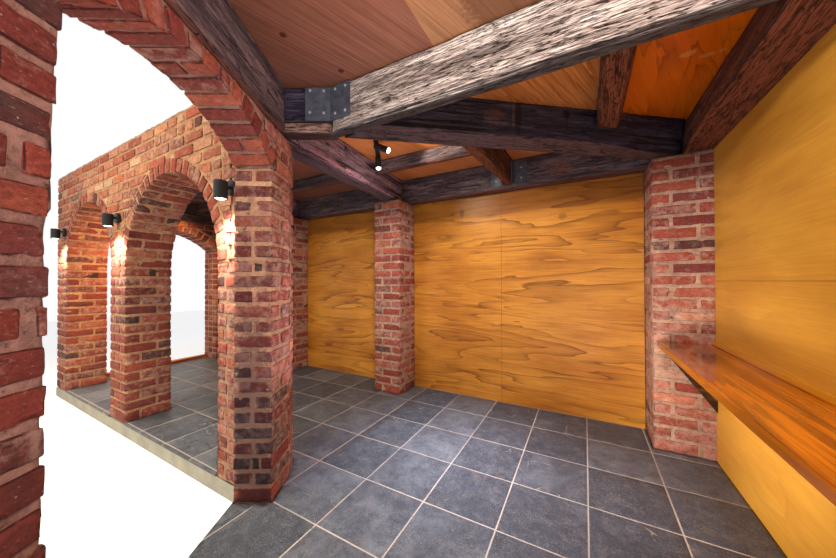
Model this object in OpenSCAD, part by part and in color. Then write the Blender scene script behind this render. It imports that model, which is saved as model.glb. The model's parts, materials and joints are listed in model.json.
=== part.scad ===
// Arcaded corner bay of an oast house: a slate-floored aisle between a brick
// arcade, which turns a corner of 60 degrees, and two outer walls. Old timbers
// cross it from the arcade to the outer piers and carry a plywood ceiling.
// Plan points are measured from the arcade's inner corner, on the finished
// floor: +X to the right wall, +Y to the back wall. The last module moves the
// whole bay so that its origin is under the middle of its bounding box.

/* [Arcade] */
// Angle by which the arcade turns at the corner pier, in degrees
arcade_turn = 60; // [56:1:64]
// Thickness of the near arcade wall, one brick
near_wall_t = 225; // [215:5:240]
// Thickness of the long arcade wall, one and a half bricks
long_wall_t = 350; // [340:5:370]
// Width of the free piers
pier_w = 350; // [320:5:380]
// Height of the arcade's brickwork above the floor
arcade_h = 2505; // [2480:5:2600]

/* [Near arch] */
// From the inner corner to the near arch's first jamb
near_stub = 118; // [110:2:140]
// Clear span of the near arch
near_span = 1045; // [960:1:1060]
// Height of its springing
near_spring = 1885; // [1800:5:1920]
// Height of its crown
near_crown = 2080; // [2060:5:2100]
// How far the near pier's jamb leans in at the springing
near_lean = 26; // [0:2:30]

/* [Long arcade] */
// From the inner corner to the right arch's first jamb
long_stub = 300; // [280:5:340]
// Clear span of the right arch, a half circle
right_span = 1460; // [1400:10:1480]
// Clear span of the left arch, a half circle
left_span = 1316; // [1260:4:1380]
// Height of both crowns
long_crown = 2075; // [2065:5:2090]

/* [Outer walls] */
// From the arcade's inner corner to the face of the right wall's lining
right_face = 2589; // [2560:1:2620]
// Clear width of the aisle, from the long arcade to the back wall's lining
aisle_w = 1712; // [1690:2:1760]
// Thickness of the outer brick walls
outer_wall_t = 230; // [215:5:260]
// Thickness of the plywood lining and its battens
lining_t = 30; // [20:2:40]
// How far the outer piers stand in front of the lining
pier_proud = 330; // [300:5:350]
// Clear width between the right and middle outer piers
bay_right = 2227; // [2200:1:2260]
// Clear width between the middle and left outer piers
bay_mid = 1472; // [1440:2:1500]

/* [End arch] */
// Clear span of the arch across the aisle's far end
end_span = 1263; // [1200:3:1290]
// Height of its springing
end_spring = 1755; // [1700:5:1800]
// Height of its crown
end_crown = 2000; // [1980:5:2040]
// Height of the timber threshold under it
threshold_h = 45; // [30:5:60]

/* [Timber] */
// Height of the beams' undersides
beam_z = 2155; // [2140:5:2170]
// Depth of the main beams
beam_d = 285; // [260:5:300]
// Width of the crossing beam
cross_w = 100; // [90:5:120]
// How far the arrises of the beams' undersides are worn off
arris = 10; // [4:1:16]
// Width of the beams over the arcade and the ends
arcade_beam_w = 125; // [120:5:130]
// Width of the diagonal beam
diagonal_w = 113; // [100:1:130]
// Height of the wane along its lower front edge, which runs out toward the pier
diagonal_wane = 63; // [20:1:80]
// Width of the tie beams
tie_w = 160; // [140:5:170]
// Wane along their lower right arris
tie_wane = 38; // [20:1:50]
// Width of the beam along the right wall at its top
right_beam_top_w = 151; // [140:1:170]
// Width of its underside, which narrows toward the pier
right_beam_foot_w = 224; // [200:1:230]
// Width of its underside on the pier
right_beam_end_w = 189; // [175:1:200]
// Width of the beam along the back wall
back_beam_w = 129; // [110:1:140]
// Thickness of the bearer under the corner block
bearer_h = 70; // [50:5:80]
// Width of the joist before the diagonal beam
front_joist_w = 148; // [120:1:160]
// Depth of that joist
front_joist_d = 130; // [110:5:180]
// Width of the joist behind the diagonal beam, at the diagonal
back_joist_w = 135; // [110:1:150]
// Its width at the back beam
back_joist_end_w = 85; // [70:1:110]
// Depth of that joist
back_joist_d = 255; // [200:5:260]
// Width of the light joists along the aisle
light_joist_w = 90; // [70:5:100]
// Depth of the light joists
light_joist_d = 125; // [100:5:140]

/* [Floor and ceiling] */
// Thickness of the concrete slab
slab_t = 100; // [80:5:150]
// Thickness of the slates and their bed
slate_t = 20; // [15:1:30]
// Thickness of the ceiling's plywood
ceiling_t = 18; // [12:1:25]

/* [Shelf] */
// Height of the shelf's top
shelf_z = 797; // [760:1:830]
// Depth of the shelf from the wall
shelf_d = 324; // [280:2:360]
// Thickness of its board
shelf_t = 42; // [30:2:50]
// Height of the strip along the wall above the board
shelf_strip_h = 28; // [20:2:40]

/* [Steel and lamps] */
// Thickness of the bent joint plate
plate_t = 8; // [6:1:10]
// Height of the joint plate
plate_h = 205; // [180:5:205]
// Length of each leaf of the joint plate
plate_leaf = 155; // [110:5:165]
// Height of the wall lamps' stems
lamp_z = 1822; // [1780:2:1860]
// Diameter of a wall lamp's body
lamp_d = 75; // [60:1:90]
// Height of a wall lamp's body
lamp_h = 110; // [90:2:130]

/* [Hidden] */
$fn = 64;

// How far a cutting tool passes the face that it cuts, and laps another tool
cut = 5;
lap = 1;
// A length longer than the bay, for half-planes and clipping strips
far = 9000;

// Levels above the finished floor
beam_top = beam_z + beam_d;
deck_top = beam_top + ceiling_t;
wall_foot = -slate_t;

// Plan of the long arcade, measured leftward from the inner corner
right_jamb = long_stub + right_span;
left_jamb_1 = right_jamb + pier_w;
left_jamb_2 = left_jamb_1 + left_span;
arcade_end = left_jamb_2 + pier_w;
right_spring = long_crown - right_span / 2;
left_spring = long_crown - left_span / 2;
// Half-brick leaf of the near wall and one-brick leaf of the long wall, behind the beams
near_leaf = 115;
long_leaf = long_wall_t - 120;
end_beam_w = 120;

// Plan of the near arcade, measured toward the near end from the inner corner
near_jamb = near_stub + near_span;
near_end = near_jamb + pier_w;
// Where the near pier's jamb starts to lean in
lean_foot = 1300;

// Outer walls
back_face = long_wall_t + aisle_w;
pier_front = back_face - pier_proud;
back_brick = back_face + lining_t;
right_brick = right_face + lining_t;
back_out = back_brick + outer_wall_t;
right_out = right_brick + outer_wall_t;
pier_right_x = right_face - pier_w;
pier_mid_x = pier_right_x - bay_right - pier_w;
pier_left_x = pier_mid_x - bay_mid - pier_w;
end_in = -left_jamb_2;
end_out = -arcade_end;
end_jamb_y = long_wall_t + end_span;

// A point of the near wall's own frame, u toward the near end, v toward the aisle
function near_pt(u, v) = [
    u * cos(arcade_turn) + v * sin(arcade_turn),
    v * cos(arcade_turn) - u * sin(arcade_turn)
];
// Where two lines, v = a of the near wall and y = b of the long wall, meet
function corner_u(a, b) = (a * cos(arcade_turn) - b) / sin(arcade_turn);

near_y = near_pt(near_end, 0)[1];

// The squint that cuts the corner pier's outer arris
squint_near = 150;
squint_long = 52;
outer_corner = near_pt(corner_u(near_wall_t, long_wall_t), near_wall_t);

// Corner block, square to the near wall, and the crossing beam that it turns into
block_front = -26;
block_reach = 517;
mitre = cross_w * tan((90 - arcade_turn) / 2);
cross_start = near_pt(block_front, block_reach);
cross_y = cross_start[1];
cross_back = cross_y + cross_w;

right_beam_x = right_brick - right_beam_end_w;
right_beam_lip = right_brick - right_beam_top_w;
back_beam_y = back_brick - back_beam_w;
// Where the right beam's underside starts to narrow
right_beam_bend = 1200;
end_beam_x = end_in - end_beam_w;

// Ends of the diagonal beam's centre line: how far it starts along the crossing
// beam, and how far it ends behind the right pier's front
diagonal_start = 109;
diagonal_seat = 135;
diagonal_a = [cross_start[0] + diagonal_start, cross_back];
diagonal_b = [right_beam_x, pier_front + diagonal_seat];
// Where its wane starts to run out, and where it ends, as shares of that line
wane_full = 0.68;
wane_end = 0.97;
// Ends of the tie beams' centre lines, over the arcade's piers and the back ones
tie_foot_y = 213;
tie_end_y = pier_front + pier_proud / 2;
tie_right_a = [-15, tie_foot_y];
tie_right_b = [pier_mid_x + pier_w / 2, tie_end_y];
tie_left_a = [-(right_jamb + pier_w / 2), tie_foot_y];
tie_left_b = [pier_left_x + pier_w / 2, tie_end_y];

// Left sides of the joists, of the back one at both ends
front_joist_x = 1877;
back_joist_x = 1022;
back_joist_end_x = 1103;
light_joist_y = 1333;
// How far behind the crossing beam the back joist starts
back_joist_start = 419;

threshold_w = 75;

// Middles of the wall lamps, beside the arcade's three piers
lamp_places = [-115, -1905, -3471];
// Fronts of the shelf's brackets: against the right pier, between, and near the end
bracket_t = 30;
bracket_places = [pier_front - bracket_t, -40, near_y + 60];

// Ends of the ceiling spots' bar, and the middles of the faces of its two heads
spot_a = [250, 988];
spot_b = [100, 1221];
spot_face_a = [350, 1023, 2350];
spot_face_b = [107, 1219, 2310];

// Middle of the bounding box in plan
mid_x = (end_out + right_out) / 2;
mid_y = (near_y + back_out) / 2;

brick = [0.62, 0.31, 0.25];
timber = [0.25, 0.17, 0.15];
old_timber = [0.50, 0.44, 0.39];
plywood = [0.78, 0.50, 0.20];
slate = [0.27, 0.30, 0.33];

// Moves the bay so that its origin is under the middle of its box
module place() {
    translate([-mid_x, -mid_y, slab_t + slate_t]) children();
}

// Turns the children into the near wall's frame
module near_frame() {
    rotate(-arcade_turn) children();
}

// A prism on a plan outline between two levels
module prism(z0, z1) {
    translate([0, 0, z0]) linear_extrude(z1 - z0) children();
}

// A solid through rings of equally many points, listed from its first end to its
// last, each ring counterclockwise as seen from the first end
module loft(rings) {
    n = len(rings[0]);
    last = (len(rings) - 1) * n;
    polyhedron(
        points = [for (ring = rings) each ring],
        faces = concat(
            [[for (i = [n - 1:-1:0]) i]],
            [for (k = [0:n:last - n], i = [0:n - 1]) let (j = (i + 1) % n) each
                [[k + i, k + j, k + n + j], [k + i, k + n + j, k + n + i]]],
            [[for (i = [0:n - 1]) last + i]]
        )
    );
}

// A straight strip of width w along the line from a to b, run past both ends
module strip(a, b, w, past = 600) {
    run = norm(b - a);
    translate(a)
        rotate(atan2(b[1] - a[1], b[0] - a[0]))
            translate([-past, -w / 2]) square([run + 2 * past, w]);
}

// A hewn timber along the line from a to b, run past both ends, with the arrises
// of its underside worn off by left and right
module hewn(a, b, w, z0, z1, left = arris, right = arris, past = 0) {
    half = w / 2;
    translate(a)
        rotate([90, 0, 90 + atan2(b[1] - a[1], b[0] - a[0])])
            translate([0, 0, -past]) linear_extrude(norm(b - a) + 2 * past)
                polygon([
                    each right > 0 ? [[-half, z0 + right], [right - half, z0]] : [[-half, z0]],
                    each left > 0 ? [[half - left, z0], [half, z0 + left]] : [[half, z0]],
                    [half, z1], [-half, z1]
                ]);
}

// Everything on the left of the line from a to b
module left_of(a, b) {
    translate(a)
        rotate(atan2(b[1] - a[1], b[0] - a[0]))
            translate([-far, 0]) square([2 * far, far]);
}

// An upright wall piece from x0 to x1 with an arched opening between its jambs,
// standing on its springers at base: a half circle when the rise is half the span
module arch_face(x0, jamb0, jamb1, x1, base, spring, crown, top) {
    half = (jamb1 - jamb0) / 2;
    rise = crown - spring;
    radius = (half * half + rise * rise) / (2 * rise);
    difference() {
        translate([x0, base]) square([x1 - x0, top - base]);
        translate([jamb0, base - cut]) square([2 * half, spring - base + cut]);
        intersection() {
            translate([jamb0 + half, crown - radius]) circle(radius, $fn = 180);
            translate([jamb0, spring - lap]) square([2 * half, radius]);
        }
    }
}

// Stands an upright face up in the XZ plane, from y = 0 to y = thick
module stand(thick) {
    translate([0, thick, 0]) rotate([90, 0, 0]) linear_extrude(thick) children();
}

// Plan outlines

module footprint() {
    polygon([
        [right_out, near_y], [right_out, back_out], [end_out, back_out],
        [end_out, 0], [0, 0], near_pt(near_end, 0)
    ]);
}

// The corner pier, with its two wings cut at near_cut and long_cut
module corner_outline(near_cut, long_cut) {
    polygon([
        [0, 0],
        near_pt(near_cut, 0),
        near_pt(near_cut, near_wall_t),
        near_pt(corner_u(near_wall_t, long_wall_t) + squint_near, near_wall_t),
        [outer_corner[0] - squint_long, long_wall_t],
        [-long_cut, long_wall_t],
        [-long_cut, 0]
    ]);
}

// The thinner leaf of the corner pier behind the beams
module corner_leaf(near_cut, long_cut) {
    polygon([
        [0, 0],
        near_pt(near_cut, 0),
        near_pt(near_cut, near_leaf),
        near_pt(corner_u(near_leaf, long_leaf), near_leaf),
        [-long_cut, long_leaf],
        [-long_cut, 0]
    ]);
}

module slate_outline() {
    difference() {
        polygon([
            [right_brick, near_y], [right_brick, back_brick], [end_in, back_brick],
            [end_in, end_jamb_y], [end_out, end_jamb_y], [end_out, long_wall_t],
            [end_in, long_wall_t], [end_in, 0], [0, 0], near_pt(near_end, 0)
        ]);
        corner_outline(near_stub, long_stub);
        near_frame() translate([near_jamb, -cut]) square([pier_w + cut, near_wall_t + cut]);
        translate([-left_jamb_1, -cut]) square([pier_w, long_wall_t + cut]);
        for (x = [pier_left_x, pier_mid_x])
            translate([x, pier_front]) square([pier_w, pier_proud + lining_t + cut]);
        translate([pier_right_x, pier_front]) square([pier_w + lining_t + cut, pier_proud + lining_t + cut]);
        // Under the linings, which stand on the slab
        translate([end_in - cut, back_face]) square([right_brick - end_in + 2 * cut, lining_t + cut]);
        translate([right_face, near_y - cut]) square([lining_t + cut, back_brick - near_y + 2 * cut]);
        // Under the threshold
        translate([end_out - cut, long_wall_t - cut])
            square([threshold_w + cut, end_span + 2 * cut]);
    }
}

// The ceiling's whole outline, between the leaves of the arcade and the outer walls
module deck_outline() {
    near_corner = near_pt(corner_u(near_leaf, long_leaf), near_leaf);
    near_left = near_pt(near_end, near_leaf);
    polygon([
        [right_brick, near_y], [right_brick, back_brick], [end_beam_x, back_brick],
        [end_beam_x, long_leaf], near_corner, near_left,
        [near_left[0], near_y]
    ]);
}

module cross_outline() {
    polygon([
        cross_start, [right_beam_lip, cross_y],
        [right_beam_lip, cross_back], cross_start + [-mitre, cross_w]
    ]);
}

module block_outline() {
    near_frame() polygon([
        [block_front, near_leaf], [block_front, block_reach],
        [block_front - cross_w, block_reach + mitre], [block_front - cross_w, near_leaf]
    ]);
}

// Half a beam's width square to the diagonal, toward its right side
function side(w) = let (d = diagonal_b - diagonal_a) [d[1], -d[0]] / norm(d) * w / 2;

// The diagonal beam's full form, run past what it meets at both ends
module diagonal_form() {
    half = side(diagonal_w);
    loft([
        for (station = [
            [-0.2, diagonal_wane], [wane_full, diagonal_wane], [wane_end, 0], [1.1, 0]
        ])
        let (p = diagonal_a + station[0] * (diagonal_b - diagonal_a)) [
            concat(p - half, beam_z), concat(p + half, beam_z + station[1]),
            concat(p + half, beam_top), concat(p - half, beam_top)
        ]
    ]);
}

// The right beam's form: its face leans out toward the foot
module right_beam_form() {
    loft([
        for (station = [
            [near_y, right_beam_foot_w],
            [right_beam_bend, right_beam_foot_w],
            [back_beam_y, right_beam_end_w]
        ])
        let (y = station[0]) [
            [right_brick - station[1], y, beam_z], [right_brick, y, beam_z],
            [right_brick, y, beam_top], [right_beam_lip, y, beam_top]
        ]
    ]);
}

// The joist behind the diagonal beam narrows toward the back beam
module back_joist_form() {
    z0 = beam_top - back_joist_d;
    intersection() {
        loft([
            for (station = [
                [cross_back + back_joist_start, back_joist_x, back_joist_w],
                [back_beam_y, back_joist_end_x, back_joist_end_w]
            ])
            let (y = station[0], x0 = station[1], x1 = x0 + station[2]) [
                [x0 + arris, y, z0], [x1 - arris, y, z0], [x1, y, z0 + arris],
                [x1, y, beam_top], [x0, y, beam_top], [x0, y, z0 + arris]
            ]
        ]);
        prism(beam_z, beam_top)
            left_of(diagonal_a - side(diagonal_w), diagonal_b - side(diagonal_w));
    }
}

module tie_outline(a, b) {
    intersection() {
        strip(a, b, tie_w);
        translate([-far / 2, long_leaf]) square([far, back_beam_y - long_leaf]);
    }
}

// Both tie beams' full forms, for what stands against them
module tie_forms() {
    prism(beam_z - cut, beam_top + cut) {
        tie_outline(tie_right_a, tie_right_b);
        tie_outline(tie_left_a, tie_left_b);
    }
}

// Floor

module floor_slab() {
    color([0.62, 0.60, 0.57]) place() prism(wall_foot - slab_t, wall_foot) footprint();
}

module slate_floor() {
    color(slate) place() prism(wall_foot, 0) slate_outline();
}

// Arcade

// Its jamb leans in toward the springing
module near_pier() {
    color(brick) place() near_frame() stand(near_wall_t)
        polygon([
            [near_jamb, wall_foot], [near_end, wall_foot], [near_end, near_spring],
            [near_jamb - near_lean, near_spring], [near_jamb, lean_foot]
        ]);
}

module near_arch() {
    color(brick) place() near_frame() {
        stand(near_wall_t)
            arch_face(near_stub / 2, near_stub, near_jamb - near_lean, near_end,
                near_spring, near_spring, near_crown, beam_z);
        prism(beam_z, arcade_h)
            translate([near_stub / 2, 0]) square([near_end - near_stub / 2, near_leaf]);
    }
}

module corner_pier() {
    color(brick) place() {
        prism(wall_foot, right_spring) corner_outline(near_stub, long_stub);
        prism(right_spring, near_spring) corner_outline(near_stub, long_stub / 2);
        prism(near_spring, beam_z) corner_outline(near_stub / 2, long_stub / 2);
        prism(beam_z, arcade_h) corner_leaf(near_stub / 2, long_stub / 2);
    }
}

// A bay of the long arcade, mirrored so that it runs leftward
module long_arch(u0, jamb0, jamb1, u1, spring) {
    mirror([1, 0, 0]) {
        stand(long_wall_t)
            arch_face(u0, jamb0, jamb1, u1, right_spring, spring, long_crown, beam_z);
        prism(beam_z, arcade_h) translate([u0, 0]) square([u1 - u0, long_leaf]);
    }
}

module arcade_arch_right() {
    color(brick) place()
        long_arch(long_stub / 2, long_stub, right_jamb, right_jamb + pier_w / 2, right_spring);
}

module arcade_arch_left() {
    color(brick) place()
        long_arch(left_jamb_1 - pier_w / 2, left_jamb_1, left_jamb_2, arcade_end, left_spring);
}

module long_pier(u) {
    color(brick) place()
        prism(wall_foot, right_spring) translate([-u - pier_w, 0]) square([pier_w, long_wall_t]);
}

module arcade_mid_pier() {
    long_pier(right_jamb);
}

module arcade_end_pier() {
    long_pier(left_jamb_2);
}

// Arch across the aisle's far end, on the end pier's face and its own pier
module end_wall_arch() {
    color(brick) place() {
        translate([end_in, 0, 0]) rotate(90) stand(pier_w)
            arch_face(long_wall_t, long_wall_t, end_jamb_y, back_brick,
                end_spring, end_spring, end_crown, beam_z);
        prism(beam_z, deck_top)
            translate([end_out, long_wall_t]) square([end_beam_x - end_out, back_brick - long_wall_t]);
    }
}

module end_wall_pier() {
    color(brick) place()
        prism(wall_foot, end_spring)
            translate([end_out, end_jamb_y]) square([pier_w, back_brick - end_jamb_y]);
}

module end_threshold() {
    color(plywood) place()
        prism(wall_foot, threshold_h)
            translate([end_out, long_wall_t]) square([threshold_w, end_span]);
}

// Outer walls, piers and linings

module back_wall() {
    color(brick) place()
        prism(wall_foot, deck_top)
            translate([end_out, back_brick]) square([right_out - end_out, outer_wall_t]);
}

module right_wall() {
    color(brick) place()
        prism(wall_foot, deck_top)
            translate([right_brick, near_y]) square([outer_wall_t, back_brick - near_y]);
}

module back_pier(x, w) {
    color(brick) place()
        prism(wall_foot, beam_z)
            translate([x, pier_front]) square([w, pier_proud + lining_t]);
}

module back_pier_left() {
    back_pier(pier_left_x, pier_w);
}

module back_pier_middle() {
    back_pier(pier_mid_x, pier_w);
}

module back_pier_right() {
    back_pier(pier_right_x, pier_w + lining_t);
}

module back_panel(x0, x1) {
    color(plywood) place()
        prism(wall_foot, beam_z) translate([x0, back_face]) square([x1 - x0, lining_t]);
}

module back_panel_left() {
    back_panel(end_in, pier_left_x);
}

module back_panel_middle() {
    back_panel(pier_left_x + pier_w, pier_mid_x);
}

module back_panel_right() {
    back_panel(pier_mid_x + pier_w, pier_right_x);
}

module right_panel() {
    color(plywood) place()
        prism(wall_foot, beam_z)
            translate([right_face, near_y]) square([lining_t, pier_front - near_y]);
}

// Timbers

module near_arcade_beam() {
    v = near_leaf + arcade_beam_w / 2;
    color(timber) place() near_frame()
        hewn([block_front, v], [near_end, v], arcade_beam_w, beam_z, beam_top, right = 0);
}

// Beam on the long arcade between two tie beams
module long_arcade_beam(x0, x1) {
    w = long_wall_t - long_leaf;
    y = long_leaf + w / 2;
    color(timber) place() difference() {
        hewn([x0, y], [x1, y], w, beam_z, beam_top, right = 0);
        tie_forms();
    }
}

module long_arcade_beam_right() {
    long_arcade_beam(tie_left_a[0], tie_right_a[0]);
}

module long_arcade_beam_left() {
    long_arcade_beam(end_in, tie_left_a[0]);
}

module corner_block() {
    color(timber) place() prism(beam_z + bearer_h, beam_top) block_outline();
}

module corner_bearer() {
    color([0.42, 0.25, 0.20]) place() prism(beam_z, beam_z + bearer_h) block_outline();
}

// Steel plate bent round the joint of block and crossing beam, on their faces
module joint_plate() {
    gap = 5;
    z0 = beam_z + bearer_h + gap;
    bend = plate_t * tan((90 - arcade_turn) / 2);
    color([0.20, 0.21, 0.23]) place() prism(z0, z0 + plate_h)
        polygon([
            near_pt(block_front, block_reach - plate_leaf),
            cross_start,
            cross_start + [plate_leaf, 0],
            cross_start + [plate_leaf, -plate_t],
            cross_start + [bend, -plate_t],
            near_pt(block_front + plate_t, block_reach - plate_leaf)
        ]);
}

module cross_beam() {
    middle = [0, cross_w / 2];
    color(old_timber) place() difference() {
        intersection() {
            prism(beam_z, beam_top) cross_outline();
            hewn(cross_start + middle, [right_beam_lip, cross_y] + middle,
                cross_w, beam_z, beam_top, past = cross_w);
        }
        right_beam_form();
    }
}

module diagonal_beam() {
    color(timber) place() difference() {
        intersection() {
            diagonal_form();
            prism(beam_z, beam_top)
                translate([0, cross_back]) square([right_beam_lip, back_beam_y - cross_back]);
        }
        right_beam_form();
    }
}

module tie_beam(a, b) {
    color(timber) place() intersection() {
        hewn(a, b, tie_w, beam_z, beam_top, right = tie_wane, past = tie_w);
        prism(beam_z, beam_top) tie_outline(a, b);
    }
}

module tie_beam_right() {
    tie_beam(tie_right_a, tie_right_b);
}

module tie_beam_left() {
    tie_beam(tie_left_a, tie_left_b);
}

module back_beam() {
    y = back_beam_y + back_beam_w / 2;
    color(timber) place()
        hewn([end_in, y], [right_brick, y], back_beam_w, beam_z, beam_top, left = 0);
}

module right_beam() {
    color(timber) place() right_beam_form();
}

module end_beam() {
    x = end_beam_x + end_beam_w / 2;
    color(timber) place()
        hewn([x, long_wall_t], [x, back_brick], end_beam_w, beam_z, beam_top, left = 0);
}

// Beam at the open near end, from the arcade beam's face to the right beam
module near_beam() {
    y = near_pt(near_end - pier_w / 2, near_wall_t / 2)[1];
    face = near_leaf + arcade_beam_w;
    color(timber) place() difference() {
        hewn([0, y], [right_beam_lip, y], arcade_beam_w, beam_z, beam_top);
        prism(beam_z - cut, beam_top + cut)
            near_frame() translate([-far / 2, face - far]) square([far, far]);
        right_beam_form();
    }
}

module trimmer_joists() {
    x = front_joist_x + front_joist_w / 2;
    color(timber) place() {
        difference() {
            hewn([x, cross_back], [x, back_beam_y], front_joist_w,
                beam_top - front_joist_d, beam_top);
            prism(beam_z, beam_top + cut)
                left_of(diagonal_a + side(diagonal_w), diagonal_b + side(diagonal_w));
        }
        back_joist_form();
    }
}

// Light joists in three runs, between the end beam, the tie beams and a trimmer
module light_joists() {
    y = light_joist_y + light_joist_w / 2;
    color(timber) place() difference() {
        hewn([end_in, y], [back_joist_end_x, y], light_joist_w, beam_top - light_joist_d, beam_top);
        tie_forms();
        back_joist_form();
    }
}

// Ceiling sheets, which meet over the middle of the beams

module ceiling_sheet() {
    color(plywood) place() prism(beam_top, deck_top) intersection() {
        deck_outline();
        children();
    }
}

module ceiling_near() {
    ceiling_sheet() intersection() {
        translate([-far, near_y]) square([2 * far, cross_y + cross_w / 2 - near_y]);
        left_of(tie_right_b, tie_right_a);
    }
}

module ceiling_corner() {
    ceiling_sheet() difference() {
        translate([-far, cross_y + cross_w / 2]) square([2 * far, far]);
        left_of(diagonal_a, diagonal_b);
    }
}

module ceiling_back() {
    ceiling_sheet() intersection() {
        translate([-far, cross_y + cross_w / 2]) square([2 * far, far]);
        left_of(diagonal_a, diagonal_b);
        left_of(tie_right_b, tie_right_a);
    }
}

module ceiling_left() {
    ceiling_sheet() left_of(tie_right_a, tie_right_b);
}

// Shelf

// Lays an upright face in the XZ plane along the shelf, its origin at the wall
module along_shelf() {
    translate([right_face, pier_front, shelf_z])
        rotate([90, 0, 0]) linear_extrude(pier_front - near_y) children();
}

// The board has rounded front arrises, and a strip covers the gap along the wall
module wall_shelf() {
    soft = 6;
    gap = 1;
    strip_w = 24;
    color([0.72, 0.36, 0.12]) place() {
        along_shelf() {
            translate([soft - shelf_d, -shelf_t]) square([shelf_d - soft, shelf_t]);
            translate([-shelf_d, soft - shelf_t]) square([shelf_d, shelf_t - 2 * soft]);
            for (z = [-soft, soft - shelf_t]) translate([soft - shelf_d, z]) circle(soft);
        }
        along_shelf() translate([-strip_w, gap]) square([strip_w, shelf_strip_h - gap]);
    }
}

// Gusset brackets under the shelf, the first against the right pier
module shelf_brackets() {
    reach = shelf_d - 43;
    nose = 30;
    drop = 420;
    color([0.16, 0.12, 0.11]) place()
        for (y = bracket_places)
            translate([right_face, y + bracket_t, shelf_z - shelf_t])
                rotate([90, 0, 0]) linear_extrude(bracket_t)
                    polygon([[0, 0], [-reach, 0], [-reach, -nose], [0, -drop]]);
}

// Lamps

// A turned body with its rims broken, from z = 0 up
module turned(d, h, rim = 3) {
    rotate_extrude() polygon([
        [0, 0], [d / 2 - rim, 0], [d / 2, rim], [d / 2, h - rim], [d / 2 - rim, h], [0, h]
    ]);
}

// A lamp's can from z = 0 up: its mouth is open below, and its back rim is broken
module can(d, h, wall = 3, mouth = 22, rim = 3) {
    rotate_extrude() polygon([
        [0, mouth], [d / 2 - wall, mouth], [d / 2 - wall, 0], [d / 2, 0],
        [d / 2, h - rim], [d / 2 - rim, h], [0, h]
    ]);
}

// Wall lamp on the arcade's inner face: a rose, a stem and a can that shines down
module wall_lamp(x) {
    rose_d = 95;
    rose_t = 22;
    stem_d = 20;
    stand_off = 72;
    above = 28;
    translate([x, 0, lamp_z]) {
        rotate([90, 0, 0]) turned(rose_d, rose_t);
        rotate([90, 0, 0]) cylinder(h = stand_off, d = stem_d);
        translate([0, -stand_off, above - lamp_h]) can(lamp_d, lamp_h);
    }
}

module wall_lamps() {
    color([0.06, 0.06, 0.07]) place()
        for (x = lamp_places) wall_lamp(x);
}

// Turns the children so that their Z axis runs from one point to another
module aim(from, to) {
    d = to - from;
    translate(from) rotate([0, acos(d[2] / norm(d)), atan2(d[1], d[0])]) children();
}

// A spot that hangs from the bar's end and shines toward a point
module spot_lamp(bar_end, to) {
    hang = 45;
    stem_d = 16;
    head_d = 54;
    back = 12;
    pivot = concat(bar_end, beam_top - hang);
    translate(pivot) cylinder(h = hang, d = stem_d);
    aim(to, pivot) can(head_d, norm(to - pivot) + back);
}

module ceiling_spots() {
    bar_w = 40;
    bar_t = 22;
    color([0.06, 0.06, 0.07]) place() {
        prism(beam_top - bar_t, beam_top) strip(spot_a, spot_b, bar_w, past = 20);
        spot_lamp(spot_a, spot_face_a);
        spot_lamp(spot_b, spot_face_b);
    }
}

floor_slab();
slate_floor();
near_pier();
near_arch();
corner_pier();
arcade_arch_right();
arcade_mid_pier();
arcade_arch_left();
arcade_end_pier();
end_wall_arch();
end_wall_pier();
end_threshold();
back_wall();
right_wall();
back_pier_left();
back_pier_middle();
back_pier_right();
back_panel_left();
back_panel_middle();
back_panel_right();
right_panel();
near_arcade_beam();
long_arcade_beam_right();
long_arcade_beam_left();
corner_block();
corner_bearer();
joint_plate();
cross_beam();
diagonal_beam();
tie_beam_right();
tie_beam_left();
back_beam();
right_beam();
end_beam();
near_beam();
trimmer_joists();
light_joists();
ceiling_near();
ceiling_corner();
ceiling_back();
ceiling_left();
wall_shelf();
shelf_brackets();
wall_lamps();
ceiling_spots();
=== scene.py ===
import json
import math

import bmesh
import bpy
import numpy as np
from mathutils import Matrix, Vector
from mathutils.bvhtree import BVHTree

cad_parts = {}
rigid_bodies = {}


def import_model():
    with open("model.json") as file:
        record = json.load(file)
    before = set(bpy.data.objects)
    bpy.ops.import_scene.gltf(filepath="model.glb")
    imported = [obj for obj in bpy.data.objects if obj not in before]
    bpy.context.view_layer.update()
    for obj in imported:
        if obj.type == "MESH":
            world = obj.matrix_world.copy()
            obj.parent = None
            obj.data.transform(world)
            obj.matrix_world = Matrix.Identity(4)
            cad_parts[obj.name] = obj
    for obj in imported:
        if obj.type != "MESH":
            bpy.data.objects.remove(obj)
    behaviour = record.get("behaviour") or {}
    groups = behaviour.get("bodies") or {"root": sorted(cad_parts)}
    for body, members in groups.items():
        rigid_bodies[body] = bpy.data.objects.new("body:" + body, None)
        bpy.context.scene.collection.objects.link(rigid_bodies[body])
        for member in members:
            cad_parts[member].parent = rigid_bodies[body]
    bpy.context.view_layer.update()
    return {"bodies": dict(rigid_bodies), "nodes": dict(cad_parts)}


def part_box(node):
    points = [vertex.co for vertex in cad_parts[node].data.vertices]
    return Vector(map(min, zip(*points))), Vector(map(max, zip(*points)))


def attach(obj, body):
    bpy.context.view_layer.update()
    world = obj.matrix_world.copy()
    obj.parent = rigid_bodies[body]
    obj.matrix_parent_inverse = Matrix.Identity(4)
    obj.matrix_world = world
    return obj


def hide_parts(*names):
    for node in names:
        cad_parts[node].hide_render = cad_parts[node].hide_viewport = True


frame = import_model()
cad = frame["nodes"]
BODY = next(iter(frame["bodies"]))

# Looks of the corner bay of an oast house. The bricks are laid one by one over cores of
# mortar, the old timbers are cut into fine cells and worn, and the slates are bedded in
# grout. All places are given in the plan's frame, in metres: the origin is the arcade's
# inner corner on the finished floor, +X runs to the right wall and +Y to the back wall.


# Plan, read from the frame

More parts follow.
